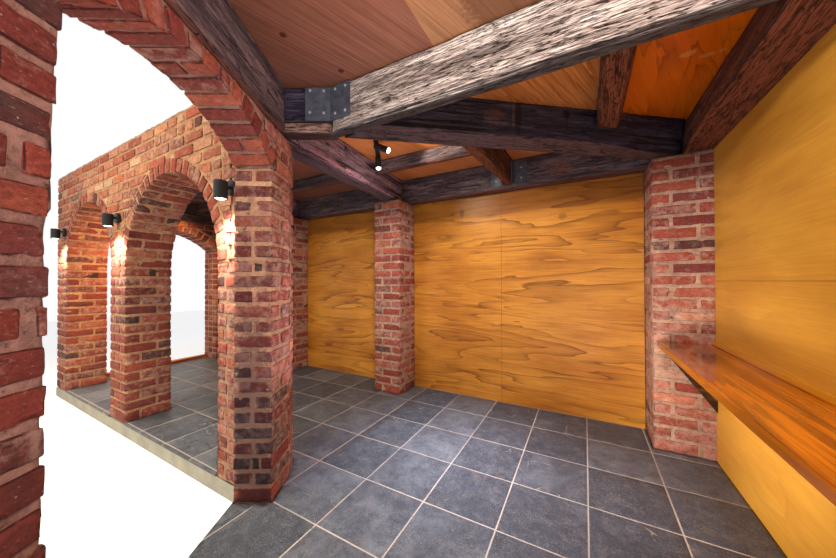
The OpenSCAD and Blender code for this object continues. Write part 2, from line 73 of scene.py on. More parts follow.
RIGHT_JAMB = 1.760
MID_LOW, MID_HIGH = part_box("arcade_mid_pier")
PLAN = np.array([MID_HIGH.x + RIGHT_JAMB, MID_LOW.y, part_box("slate_floor")[1].z])
X, Y, Z = (1, 0, 0), (0, 1, 0), (0, 0, 1)


def plan_box(node):
    """Lowest and highest corner of a CAD node, in the plan's frame"""
    return np.array(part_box(node)) - PLAN


# Bricks, joints and rings of arches
FOOT = -0.010
COURSE = 0.0857
JOINT = 0.012
LONG_BRICK = 0.230
HALF_BRICK = 0.109
LAP = 0.120
RING = 0.110

TURN = math.radians(60)
NEAR_T = 0.225
NEAR_STUB = 0.118
NEAR_JAMB = 1.163
NEAR_END = NEAR_JAMB + 0.350
NEAR_SPRING = plan_box("near_pier")[1][2]
NEAR_CROWN = 2.080

LONG_T = 0.350
LONG_STUB = -plan_box("corner_pier")[0][0]
PIER_W = 0.350
LEFT_JAMB_1 = -plan_box("arcade_mid_pier")[0][0]
LEFT_JAMB_2 = -plan_box("arcade_end_pier")[1][0]
ARCADE_END = -plan_box("arcade_end_pier")[0][0]
LONG_CROWN = 2.075
ARCADE_H = plan_box("corner_pier")[1][2]

BEAM_Z = plan_box("cross_beam")[0][2]
CROSS_FRONT = plan_box("cross_beam")[0][1]
BEAM_TOP = plan_box("cross_beam")[1][2]
DECK_TOP = plan_box("back_wall")[1][2]
BACK_BRICK = plan_box("back_wall")[0][1]
BACK_OUT = plan_box("back_wall")[1][1]
RIGHT_BRICK = plan_box("right_wall")[0][0]
RIGHT_OUT = plan_box("right_wall")[1][0]
NEAR_Y = plan_box("right_wall")[0][1]
BACK_FACE = plan_box("back_panel_left")[0][1]

END_JAMB = plan_box("end_wall_pier")[0][1]
END_SPRING = plan_box("end_wall_pier")[1][2]
END_CROWN = 2.000

# Courses of the arcade below its half circles, and the first course behind the beams
LOW_COURSES = 16
LOW_TOP = LOW_COURSES * COURSE
TOP_COURSE = 25


def near_pt(u, v, z=0.0):
    """A point of the near wall's frame: u toward its near end, v toward the aisle"""
    c, s = math.cos(TURN), math.sin(TURN)
    return np.array([u * c + v * s, v * c - u * s, z])


def long_pt(u, v, z=0.0):
    """A point of the long wall's frame: u leftward, v toward the aisle"""
    return np.array([-u, v, z])


def jamb_pt(u, v, z=0.0):
    """A point of the corner pier's jamb in the right arch: u toward the aisle, v inward"""
    return np.array([v - LONG_STUB, u, z])


def end_pt(u, v, z=0.0):
    """A point of the end wall's frame: u toward the back wall, v from its aisle face"""
    return np.array([-LEFT_JAMB_2 - v, u, z])


def back_pt(u, v, z=0.0):
    """A point of the back wall's frame: u rightward, v inward from its outer face"""
    return np.array([u - ARCADE_END, BACK_OUT - v, z])


def right_pt(u, v, z=0.0):
    """A point of the right wall's frame: u toward the back wall, v from its outer face"""
    return np.array([RIGHT_OUT - v, NEAR_Y + u, z])


def plain_pt(x, y, z=0.0):
    return np.array([x, y, z])


NEAR_U = tuple(near_pt(1, 0))
NEAR_V = tuple(near_pt(0, 1))


# Noise

def lattice(i, j, k, seed):
    """Even random numbers from 0 to 1 at the whole points of a grid"""
    h = (i * 73856093) ^ (j * 19349663) ^ (k * 83492791) ^ (seed * 668265263)
    h &= 0xFFFFFFFF
    for shift, factor in ((15, 2246822519), (13, 3266489917)):
        h = ((h ^ (h >> shift)) * factor) & 0xFFFFFFFF
    return (h ^ (h >> 16)) / 0xFFFFFFFF


def noise(points, size, seed=0):
    """Smooth noise from 0 to 1 with features of the given size, or sizes along the axes"""
    q = points / size
    base = np.floor(q).astype(np.int64)
    f = q - base
    f = f * f * (3 - 2 * f)
    total = np.zeros(len(points))
    for corner in range(8):
        step = [(corner >> axis) & 1 for axis in range(3)]
        weight = np.where(step, f, 1 - f).prod(1)
        total += weight * lattice(*(base + step).T, seed)
    return total


def smooth(low, high, x):
    t = np.clip((x - low) / (high - low), 0, 1)
    return t * t * (3 - 2 * t)


# Pieces

def add_object(name, data):
    made = bpy.data.objects.new(name, data)
    bpy.context.scene.collection.objects.link(made)
    return made


def settle(name, mesh, slot, materials, replaces=(), **attributes):
    """Makes a mesh a piece that rides on the bay's one body, with values at its points"""
    piece = add_object(name, mesh)
    for material in materials:
        mesh.materials.append(material)
    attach(piece, BODY)
    if replaces:
        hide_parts(*replaces)
    for key, values in attributes.items():
        values = np.asarray(values, np.float32)
        kind, field = ("FLOAT", "value") if values.ndim == 1 else ("FLOAT_VECTOR", "vector")
        mesh.attributes.new(key, kind, "POINT").data.foreach_set(field, values.ravel())


def new_piece(name, verts, faces, slot, material, soft_shade=True, **attributes):
    """A piece from plan points and faces that all have as many corners"""
    mesh = bpy.data.meshes.new(name)
    faces = np.asarray(faces, np.int32)
    mesh.vertices.add(len(verts))
    mesh.vertices.foreach_set("co", (np.asarray(verts) + PLAN).astype(np.float32).ravel())
    mesh.loops.add(faces.size)
    mesh.loops.foreach_set("vertex_index", faces.ravel())
    mesh.polygons.add(len(faces))
    starts = np.arange(0, faces.size, faces.shape[1], dtype=np.int32)
    mesh.polygons.foreach_set("loop_start", starts)
    mesh.update(calc_edges=True)
    if soft_shade:
        mesh.shade_smooth()
    settle(name, mesh, slot, [material], **attributes)


def replace_node(bm, node, name, slot, materials, **attributes):
    """A piece from a mesh in the plan's frame, in place of a CAD node"""
    bmesh.ops.translate(bm, verts=bm.verts, vec=Vector(PLAN))
    mesh = bpy.data.meshes.new(name)
    bm.to_mesh(mesh)
    bm.free()
    mesh.shade_smooth()
    settle(name, mesh, slot, materials, [node], **attributes)


# Materials. A field is a value that nodes work out over a surface, and is added and
# multiplied like a number. Colours are given as they are seen, from 0 to 255.

def srgb(*seen):
    """A colour as Blender's linear one"""
    shares = [value / 255 for value in seen]
    return (*(s / 12.92 if s <= 0.04045 else ((s + 0.055) / 1.055) ** 2.4 for s in shares), 1)


def fill(node, inputs):
    """Sets a node's inputs, and links those that are fields"""
    for key, value in inputs.items():
        entry = node.inputs[key]
        if isinstance(value, Field):
            node.id_data.links.new(value.socket, entry)
        else:
            entry.default_value = srgb(*value) if entry.type == "RGBA" else value


def add_node(tree, kind, inputs, output=0, **settings):
    """Adds a node and gives one of its outputs as a field"""
    made = tree.nodes.new(kind)
    for key, value in settings.items():
        setattr(made, key, value)
    fill(made, inputs)
    return Field(made.outputs[output])


class Field:
    def __init__(self, socket):
        self.socket = socket

    def node(self, kind, inputs, **settings):
        return add_node(self.socket.id_data, kind, inputs, **settings)

    def beside(self, output):
        """Another output of the same node"""
        return Field(self.socket.node.outputs[output])

    def math(self, operation, *others):
        return self.node("ShaderNodeMath", dict(enumerate((self, *others))), operation=operation)

    def __add__(self, other):
        return self.math("ADD", other)

    def __sub__(self, other):
        return self.math("SUBTRACT", other)

    def __mul__(self, other):
        return self.math("MULTIPLY", other)

    def step(self, low, high):
        """0 below low, 1 above high, smooth between"""
        return self.node("ShaderNodeMapRange", {
            "Value": self, "From Min": low, "From Max": high}, interpolation_type="SMOOTHSTEP")

    def line(self, middle, width):
        """1 where the field passes its middle value: a thin line along its contour"""
        return (self - middle).math("ABSOLUTE").step(width, width * 0.3)

    def ramp(self, *stops):
        """Colours or grey values at places from 0 to 1"""
        made = self.node("ShaderNodeValToRGB", {"Fac": self})
        elements = made.socket.node.color_ramp.elements
        while len(elements) < len(stops):
            elements.new(0.5)
        for element, (place, colour) in zip(elements, stops):
            element.position = place
            element.color = srgb(*colour) if isinstance(colour, tuple) else (colour,) * 3 + (1,)
        return made

    def grey(self):
        return self.node("ShaderNodeCombineColor", {0: self, 1: self, 2: self})


class Finish:
    """A node material, painted in layers. place is where its noise is taken, turn its angle"""

    def __init__(self, name, **inputs):
        self.material = bpy.data.materials.new(name)
        self.material.use_nodes = True
        self.shader = self.material.node_tree.nodes["Principled BSDF"]
        place = self.node("ShaderNodeTexCoord", {}, "Object")
        self.position = self.node("ShaderNodeMapping", {"Vector": place, "Location": tuple(-PLAN)})
        self.place, self.turn = self.position, 0.0
        self.set(**inputs)

    def node(self, kind, inputs, output=0, **settings):
        return add_node(self.material.node_tree, kind, inputs, output, **settings)

    def set(self, **inputs):
        fill(self.shader, {key.replace("_", " "): value for key, value in inputs.items()})

    def attribute(self, name, output="Fac"):
        return self.node("ShaderNodeAttribute", {}, output, attribute_name=name)

    def noise(self, scale, detail=3.0, roughness=0.55, distortion=0.0, place=None):
        """Noise of one scale, or of three scales along the turned axes"""
        place = place or self.place
        if isinstance(scale, tuple):
            if self.turn:
                place = self.node("ShaderNodeVectorRotate", {"Vector": place, "Angle": -self.turn},
                                  rotation_type="Z_AXIS")
            place = self.node("ShaderNodeMapping", {"Vector": place, "Scale": scale})
            scale = 1.0
        return self.node("ShaderNodeTexNoise", {
            "Vector": place, "Scale": scale, "Detail": detail, "Roughness": roughness,
            "Distortion": distortion})

    def vector(self, operation, a, b=(0, 0, 0), output=0):
        return self.node("ShaderNodeVectorMath", {0: a, 1: b}, output, operation=operation)

    def blot(self, centre, size):
        """1 near a place of the plan, with a ragged rim; size is its reach along the axes"""
        shifted = self.vector("ADD", self.position, tuple(-c for c in centre))
        scaled = self.vector("MULTIPLY", shifted, tuple(1 / s for s in size))
        ragged = self.noise(60, 3, place=self.position) * 0.9 - 0.45
        return (self.vector("LENGTH", scaled, output="Value") + ragged).step(1.1, 0.7)

    def dots(self, scale, size, share):
        """Small round specks, one in some of the cells"""
        cells = self.node("ShaderNodeTexVoronoi", {"Vector": self.position, "Scale": scale})
        pick = self.node("ShaderNodeSeparateColor", {0: cells.beside("Color")})
        return cells.step(size, size * 0.6) * pick.step(share, share * 0.9)

    def along(self, axis):
        return self.node("ShaderNodeSeparateXYZ", {"Vector": self.position}, axis)

    def facing(self, axis):
        normal = self.node("ShaderNodeNewGeometry", {}, "Normal")
        return self.node("ShaderNodeSeparateXYZ", {"Vector": normal}, axis)

    def mix(self, factor, a, b, blend="MIX"):
        return self.node("ShaderNodeMix", {0: factor, 6: a, 7: b}, 2, data_type="RGBA",
                         blend_type=blend)

    def paint(self, mask, tint, blend="MIX"):
        """Lays a colour over what is painted, as far as the mask lets it"""
        self.colour = self.mix(mask, self.colour, tint, blend)

    def mark(self, blots, side=1.0):
        for centre, size, tint, amount in blots:
            self.paint(self.blot(centre, size) * (side * amount), tint)

    def done(self, height, strength, distance):
        """Sets the painted colour and a bump, and gives the material"""
        bump = {"Height": height, "Strength": strength, "Distance": distance}
        self.set(Base_Color=self.colour, Normal=self.node("ShaderNodeBump", bump))
        return self.material


MORTAR = (190, 154, 136)
LIME = (200, 166, 154)
SHELF_SEAM = 2.521
SHEET_JOINT = 1.0465
SHEET_HEIGHT = 1.238
SHEET_TURN = math.radians(72)


def brick_finish():
    """Old handmade bricks: creased, pitted and specked, smeared with mortar along their edges"""
    f = Finish("old_brick", Roughness=0.9)
    tone, shade, smear, edge = (f.attribute(name) for name in ("tone", "shade", "smear", "edge"))
    crease, grain = f.noise((36, 36, 80), 5, 0.74, 0.4), f.noise(140, 4, 0.75)
    f.colour = (tone + (f.noise(13, 4, 0.6) - 0.5) * 0.42).ramp(
        (0.00, (60, 48, 44)), (0.06, (82, 62, 62)), (0.18, (104, 60, 58)), (0.38, (128, 60, 56)),
        (0.58, (148, 70, 60)), (0.76, (168, 90, 72)), (0.90, (188, 122, 96)), (1.00, (196, 156, 134)))
    light = (shade * 0.35 + 0.82) * (grain * 0.7 + 0.65)
    light *= crease.ramp((0.32, 0.60), (0.50, 1.0), (0.68, 1.28))
    f.paint(1.0, light.grey(), "MULTIPLY")
    f.paint(f.noise(38, 5, 0.72).step(0.56, 0.70) * 0.45, (70, 46, 46))
    # Lime and mortar left on the face, more of it along the edges
    # Bricks given gloom, as on the corner pier's reveal, darken their lime and mortar too: painted shade
    gloom = (shade * 0.5 + 1.05).math("MINIMUM", 1.0).grey()
    lime, mortar = (f.mix(1.0, tint, gloom, "MULTIPLY") for tint in (LIME, MORTAR))
    rim = edge - (f.noise(34, 4, 0.6) * 0.034 - 0.020)
    f.paint(rim.step(0.002, -0.003) * 0.6, mortar)
    film = smear * 0.24 + 0.26 - f.noise(21, 6, 0.72)
    f.paint(film.step(-0.13, 0.12) * 0.52, lime)
    f.paint(f.noise((80, 80, 150), 3, 0.6).step(0.62, 0.70) * 0.36, lime)
    f.paint(f.noise(95, 2).step(0.33, 0.27) * 0.6, (52, 30, 30))
    f.paint(f.dots(70, 0.16, 0.10) * 0.6, (208, 184, 172))
    # Painted shade: a dark line of shadow in the gap between brick and mortar, broken along its length
    shadow_gap = edge.step(0.0065, 0.0025) * f.noise(22, 3).step(0.42, 0.52)
    f.paint(shadow_gap * 0.8, (44, 28, 28))
    # The corner pier's reveal is darker and cooler, more so toward the floor: painted shade, with some
    # grime
    reveal = f.blot((0.156, -0.046, 1.0), (0.17, 0.17, 9.0)) * f.facing(1).step(-0.55, -0.80)
    shade_and_grime = (f.along(2) * 0.5).ramp(
        (0.06, (128, 118, 138)), (0.25, (152, 148, 172)), (0.60, (206, 200, 212)),
        (0.92, (212, 208, 218)), (0.97, (255, 255, 255)))
    f.paint(reveal * f.facing(0).step(0.2, 0.4), shade_and_grime, "MULTIPLY")
    return f.done(grain * 0.5 + crease, 1.0, 0.007)


def mortar_finish(name, level=1.0, tint=(255, 255, 255), shade=None):
    """Pale pinkish sand and lime, with pits and dirt; shade is a blot of painted shade, where the mortar
    is darker
    """
    f = Finish(name, Roughness=0.95)
    grain, lump = f.noise(130, 4, 0.7), f.noise(30, 4, 0.7)
    f.colour = f.noise(7, 5, 0.6).ramp(
        (0.25, (150, 118, 104)), (0.5, (180, 144, 126)), (0.75, (206, 174, 152)))
    light = lump.ramp((0.34, 0.70), (0.52, 1.0), (0.68, 1.18)) * level
    f.paint(1.0, light.grey(), "MULTIPLY")
    f.paint(1.0, tint, "MULTIPLY")
    f.paint(grain.step(0.44, 0.30), (104, 78, 70))
    f.paint(f.noise(20, 5, 0.72).step(0.58, 0.68) * 0.75, (60, 42, 40))
    # Painted shade: a blot of darker mortar
    if shade:
        f.paint(f.blot(*shade) * 0.8, (112, 86, 84))
    return f.done(grain + lump * 1.5, 1.0, 0.006)


def timber_finish(name, dark, mid, light, ridge=70, deep=0.004, lines=0.8, width=0.034, under=None,
                  blots=(), cut=True):
    """Old hewn timber: long fibres, thin dark fissures and worn ridges, along its own grain.
    A piece that isn't cut into cells has no grain of its own: its fibres run along X"""
    f = Finish(name, Roughness=0.72)
    f.place = f.attribute("grain", "Vector") if cut else f.position
    fibre, broad = f.noise((7, 170, 170), 4, 0.6), f.noise((1.8, 14, 14), 4, 0.6, 0.5)
    f.colour = (fibre * 0.5 + broad * 0.5).ramp((0.36, dark), (0.49, mid), (0.62, light))
    # Undersides take their own colour: painted shade where it is darker than the sides, painted light
    # where it is lighter
    if under:
        f.paint(f.facing(2).step(-0.35, -0.8) * 0.9, under)
    f.mark(blots)
    fine = f.noise((9, ridge, ridge), 3, 0.55, 0.4).line(0.5, width)
    bold = f.noise((1.8, ridge / 4, ridge / 4), 4, 0.55, 0.5).line(0.47, 0.011)
    fissure = (fine * lines).math("MAXIMUM", bold)
    f.paint(fissure, (20, 13, 13))
    f.paint(f.attribute("hollow") * 0.8, (18, 12, 12))
    return f.done(fibre * 0.6 - fissure, 1.0, deep)


def slate_finish():
    """Riven dark slate, sealed: tone and figure are each slate's own, a few have riven steps"""
    f = Finish("riven_slate", Specular_IOR_Level=0.32)
    tone, grain = f.attribute("tone"), f.noise(150, 4, 0.85)
    f.place = f.vector("ADD", f.position, f.node("ShaderNodeCombineXYZ", {2: tone * 40.0}))
    cloud, rift = f.noise(7, 6, 0.70, 0.4), f.noise((1.9, 2.6, 1.0), 4, 0.36, 0.5)
    f.colour = (tone * 0.24 + cloud * 0.76).ramp(
        (0.26, (52, 57, 71)), (0.48, (73, 79, 93)), (0.70, (107, 113, 127)))
    stain = f.noise(19, 5, 0.72, 0.6)
    f.paint(stain.step(0.50, 0.66) * 0.34, (124, 114, 113))
    f.paint(stain.step(0.48, 0.34) * 0.45, (54, 54, 62))
    broken = f.noise(9, 2).step(0.46, 0.54)
    some = (tone * 7.0).math("FRACT").step(0.58, 0.60) * broken
    f.paint(rift.line(0.508, 0.0025) * some * 0.55, (34, 34, 40))
    f.paint(rift.line(0.515, 0.0030) * some * 0.55, (176, 168, 162))
    crowd = f.noise(12, 3).ramp((0.40, 0.20), (0.60, 0.52))
    f.paint(grain.step(0.51, 0.66) * crowd, (170, 166, 166))
    f.paint(grain.step(0.47, 0.34) * 0.40, (42, 44, 52))
    f.set(Roughness=cloud.ramp((0.3, 0.42), (0.7, 0.58)))
    ledge = rift.step(0.505, 0.520) * some
    return f.done(grain * 0.35 + (cloud + ledge), 0.6, 0.005)


def grainy_finish(name, grain, cloud, dull, pale, limits, speck, deep):
    """A cast or trowelled face: soft clouds, and grains of another shade between limits"""
    f = Finish(name, Roughness=0.9)
    grain = f.noise(*grain)
    f.colour = f.noise(*cloud).ramp((0.3, dull), (0.7, pale))
    f.paint(grain.step(*limits), speck)
    return f.done(grain, 0.6, deep)


def plywood_finish(name, dark, mid, light, turn=0.0, figure=0.5, reach=(0.55, 2.6), rings=7.0,
                   streak=0.4, seam=None, blots=(), shine=0.42, other=None, shadow_from=None):
    """Varnished rotary-cut plywood: growth rings shade slowly and end in a thin dark line.
    other is a second sheet before a place on the x axis: the place and its two colours.
    Above a given height the sheet is darker: a painted shadow of the beams. Blots don't mark a sheet's
    upper face"""
    f = Finish(name, Roughness=shine)
    f.turn = turn
    long, wide = reach
    ring = (f.noise((long, wide, wide), 4, 0.45, 0.3) * rings).math("FRACT").ramp(
        (0.0, 0.0), (0.45, 0.12), (0.84, 0.55), (0.93, 1.0), (0.99, 0.0))
    fibre, cloud = f.noise((3, 110, 110), 4, 0.6), f.noise((1.2, 3.5, 3.5), 4)
    f.colour = (fibre * streak + cloud * (1 - streak)).ramp((0.34, mid), (0.64, light))
    if other:
        end, other_mid, other_light = other
        fine = (fibre * 0.7 + cloud * 0.3).ramp((0.36, other_mid), (0.62, other_light))
        f.paint(f.along(0).step(end, end - 0.001), fine)
    calm = f.noise((1.4, 4, 4), 2).step(0.30, 0.62)
    f.paint(ring * (calm * (figure * 0.8) + figure * 0.2), dark)
    f.paint(f.noise((14, 160, 160), 2).step(0.62, 0.72) * (figure * 0.4), dark)
    # Painted shadow of the beams: the sheet is darker above the given height
    if shadow_from:
        f.paint(f.along(2).step(shadow_from - 0.02, shadow_from + 0.03) * 0.40, dark)
    if blots:
        f.mark(blots, f.facing(2).step(0.6, 0.4))
    if seam:
        axis, place = seam
        f.paint(f.along(axis).line(place, 0.0022), (110, 64, 26))
    return f.done(fibre, 0.12, 0.001)


def steel_finish(name, base, edge, roughness=0.5):
    f = Finish(name, Metallic=0.25)
    cloud = f.noise(24, 5, 0.65)
    f.colour = cloud.ramp((0.35, base), (0.70, edge))
    f.set(Roughness=cloud.ramp((0.3, roughness - 0.1), (0.7, roughness + 0.15)))
    return f.done(f.noise(180, 3), 0.25, 0.001)


def varnish_finish():
    """Glossy orange-brown board with long figure and a seam, its edge and upstand plainer"""
    f = Finish("varnished_board", Roughness=0.16, Coat_Weight=0.6, Coat_Roughness=0.05)
    fibre, broad = f.noise((70, 2.2, 70), 5, 0.6), f.noise((10, 1.1, 10), 4, 0.55, 0.7)
    f.colour = (fibre * 0.4 + broad * 0.6).ramp(
        (0.38, (84, 34, 2)), (0.47, (150, 70, 4)), (0.57, (212, 116, 10)))
    f.paint(f.facing(0).step(-0.5, -0.9) * 0.7, (152, 82, 10))
    f.paint(f.along(2).step(0.800, 0.806) * 0.8, (214, 148, 34))
    f.paint(f.along(0).line(SHELF_SEAM, 0.0016) * 0.8, (70, 30, 8))
    return f.done(fibre, 0.10, 0.001)


def glow_finish():
    f = Finish("lit_lens", Roughness=0.4, Emission_Strength=6.0, Base_Color=(255, 255, 255))
    f.set(Emission_Color=f.noise(60, 2).ramp((0.3, (255, 240, 222)), (0.7, (255, 250, 244))))
    return f.material


BRICK_LOOK = brick_finish()
MORTAR_LOOK = mortar_finish("sand_mortar")
NEAR_MORTAR = mortar_finish("near_mortar", 0.84, (244, 230, 244))
# At the foot of the corner pier's reveal the mortar is darker than the rest: painted shade, with some
# grime
CORNER_MORTAR = mortar_finish("corner_mortar", 1.0, (255, 242, 236),
                              shade=((0.15, -0.05, 0.35), (0.13, 0.13, 0.75)))
ARCADE_MORTAR = mortar_finish("arcade_mortar", 1.05, (255, 240, 220))
SLATE_LOOK = slate_finish()
GROUT_LOOK = grainy_finish("pink_grout", (90, 3, 0.6), (2.5, 3), (160, 150, 146), (190, 180, 174),
                           (0.56, 0.70), (134, 124, 118), 0.002)
CONCRETE_LOOK = grainy_finish("cast_concrete", (70, 4, 0.7), (5, 5, 0.6), (150, 145, 138),
                              (182, 177, 168), (0.62, 0.75), (118, 112, 106), 0.003)
# The diagonal beam has a browner patch, the marks of a strap, and a knot with a shake below it
DIAGONAL_MARKS = [((1.285, 0.892, 2.330), (0.085, 0.070, 0.06), (104, 72, 64), 0.6),
                  ((1.392, 0.978, 2.345), (0.010, 0.010, 0.12), (112, 88, 92), 0.5),
                  ((1.420, 1.000, 2.345), (0.026, 0.022, 0.14), (24, 20, 26), 0.8),
                  ((1.701, 1.220, 2.389), (0.030, 0.026, 0.03), (14, 10, 12), 0.9),
                  ((1.701, 1.220, 2.330), (0.007, 0.007, 0.09), (14, 10, 12), 0.9)]
DARK_TIMBER = timber_finish("dark_old_timber", (28, 30, 46), (47, 46, 66), (88, 82, 102), lines=0.5,
                            under=(88, 66, 68), blots=DIAGONAL_MARKS)
BROWN_TIMBER = timber_finish("brown_old_timber", (50, 44, 54), (86, 74, 82), (140, 118, 122),
                             lines=0.5, under=(104, 62, 52),
                             blots=[((1.610, 1.960, 2.275), (0.11, 0.05, 0.07), (128, 86, 68), 0.6)])
PURPLE_TIMBER = timber_finish("purple_old_timber", (84, 68, 82), (142, 116, 134), (196, 168, 184),
                              lines=0.6, under=(88, 68, 78),
                              blots=[((0.0, 0.86, 2.205), (0.13, 0.50, 0.022), (214, 156, 172), 0.6)])
BEARER_TIMBER = timber_finish("bearer_timber", (74, 56, 56), (126, 98, 92), (176, 144, 134),
                              under=(58, 40, 42))
RED_TIMBER = timber_finish("red_old_timber", (46, 34, 38), (96, 64, 60), (172, 118, 98), deep=0.006,
                           under=(122, 66, 48))
GREY_TIMBER = timber_finish("weathered_timber", (94, 83, 80), (182, 167, 162), (248, 240, 236),
                            ridge=190, deep=0.008, lines=1.0, width=0.042, under=(46, 38, 44))
BRACKET_WOOD = timber_finish("bracket_timber", (34, 20, 12), (60, 38, 20), (96, 64, 36), lines=0.6,
                             cut=False)
KNOT = (70, 34, 18)
SCUFF = (226, 150, 84)
# The back wall's sheets are darker above 1.93 m: a painted shadow of the crossing beam
BACK_PLY = plywood_finish("back_wall_plywood", (100, 48, 8), (168, 97, 27), (222, 154, 60),
                          figure=0.80, reach=(0.40, 3.0), rings=13.0, seam=(0, SHEET_JOINT), shadow_from=1.93,
                          blots=[((0.62, BACK_FACE, 1.99), (0.03, 0.05, 0.05), KNOT, 0.5),
                                 ((1.62, BACK_FACE, 1.85), (0.04, 0.05, 0.03), KNOT, 0.4)])
RIGHT_PLY = plywood_finish("right_wall_plywood", (146, 88, 28), (184, 123, 40), (221, 163, 62),
                           turn=math.pi / 2, figure=0.22, streak=0.3, seam=(2, SHEET_HEIGHT))
# The near sheet's large dark blot by the crossing beam's right end is painted shade; the two small ones
# are knots
NEAR_SHEET = plywood_finish("near_sheet", (96, 54, 36), (148, 100, 68), (186, 134, 95),
                            turn=SHEET_TURN, figure=0.6, reach=(0.12, 7.0), rings=14.0, streak=0.75,
                            other=(1.135, (116, 69, 55), (150, 97, 79)),
                            blots=[((1.580, 0.200, BEAM_TOP), (0.26, 0.40, 0.1), (104, 64, 42), 0.7),
                                   ((0.524, -0.125, BEAM_TOP), (0.018, 0.018, 0.1), KNOT, 0.9),
                                   ((0.593, 0.201, BEAM_TOP), (0.018, 0.018, 0.1), KNOT, 0.9)])
CORNER_SHEET = plywood_finish("corner_sheet", (110, 40, 0), (196, 86, 4), (226, 114, 14),
                              turn=SHEET_TURN, figure=0.7, reach=(0.7, 3.4), rings=12.0, shine=0.3,
                              other=(1.976, (140, 74, 32), (206, 130, 70)),
                              blots=[((2.286, 0.996, BEAM_TOP), (0.040, 0.028, 0.1), SCUFF, 0.45),
                                     ((2.377, 1.055, BEAM_TOP), (0.036, 0.020, 0.1), SCUFF, 0.4),
                                     ((2.437, 1.049, BEAM_TOP), (0.014, 0.018, 0.1), SCUFF, 0.4)])
LEFT_SHEET = plywood_finish("corner_sheet_left", (118, 58, 24), (178, 100, 50), (204, 128, 74),
                            turn=SHEET_TURN, figure=0.55, reach=(0.2, 5.0), rings=13.0, streak=0.6)
STEEL = steel_finish("joint_steel", (70, 78, 94), (100, 108, 124))
BOLT_STEEL = steel_finish("bolt_steel", (150, 150, 156), (190, 190, 196), 0.4)
LAMP_BLACK = steel_finish("lamp_black", (30, 31, 34), (46, 47, 50), 0.45)
VARNISH = varnish_finish()
GLOW = glow_finish()


# Arches

class Arch:
    """An arch between two jambs; one without a springing is a half circle, on low courses"""

    def __init__(self, start, end, crown, spring=None):
        self.half, self.spring = (end - start) / 2, spring
        self.radius = self.half
        if spring is not None:
            rise = crown - spring
            self.radius = (self.half ** 2 + rise ** 2) / (2 * rise)
        self.centre = (start + end) / 2, crown - self.radius
        self.lean = math.asin(self.half / self.radius)
        if spring is None:
            self.lean -= math.asin((LOW_TOP - self.centre[1]) / (self.radius + RING / 2))

    def stop(self, side):
        """Where a course ends beside the arch at a height: on its skewback, or its ring's back"""
        cu, cz = self.centre
        back = self.radius + RING + JOINT

        def at(z):
            if self.spring is not None:
                if z <= self.spring:
                    return cu + side * self.half
                if z < cz + back * math.cos(self.lean):
                    return cu + side * ((z - cz) * math.tan(self.lean) + JOINT / 2)
            return cu + side * math.sqrt(max(back ** 2 - (z - cz) ** 2, 0))
        return at


# The near pier's jamb leans in from a height up to the springing
LEAN_FOOT = 1.300
NEAR_LEAN = 0.026
NEAR_ARCH = Arch(NEAR_STUB, NEAR_JAMB - NEAR_LEAN, NEAR_CROWN, NEAR_SPRING)
RIGHT_ARCH = Arch(LONG_STUB, RIGHT_JAMB, LONG_CROWN)
LEFT_ARCH = Arch(LEFT_JAMB_1, LEFT_JAMB_2, LONG_CROWN)
END_ARCH = Arch(LONG_T, END_JAMB, END_CROWN, END_SPRING)


# Bricks

def block_shell(cells):
    """Grid points on a block's surface, with its quads wound outward"""
    index = {}
    for key in np.ndindex(*(n + 1 for n in cells)):
        if any(k in (0, n) for k, n in zip(key, cells)):
            index[key] = len(index)
    quads = []
    for axis in range(3):
        a, b = (axis + 1) % 3, (axis + 2) % 3
        for side in (0, cells[axis]):
            for p, q in np.ndindex(cells[a], cells[b]):
                ring = []
                for da, db in ((0, 0), (1, 0), (1, 1), (0, 1)):
                    key = [0, 0, 0]
                    key[axis], key[a], key[b] = side, p + da, q + db
                    ring.append(index[tuple(key)])
                quads.append(ring if side else ring[::-1])
    return np.array(list(index)), np.array(quads)


# Tone that stands for a plug of concrete, tone and gloom of the corner pier's aisle side,
# and tone of the side toward the room. The aisle side's negative gloom pales its bricks: painted light
PLUG = -9.0
AISLE = (0.08, -0.35)
ROOM = 0.26
SHORTEST = 0.045


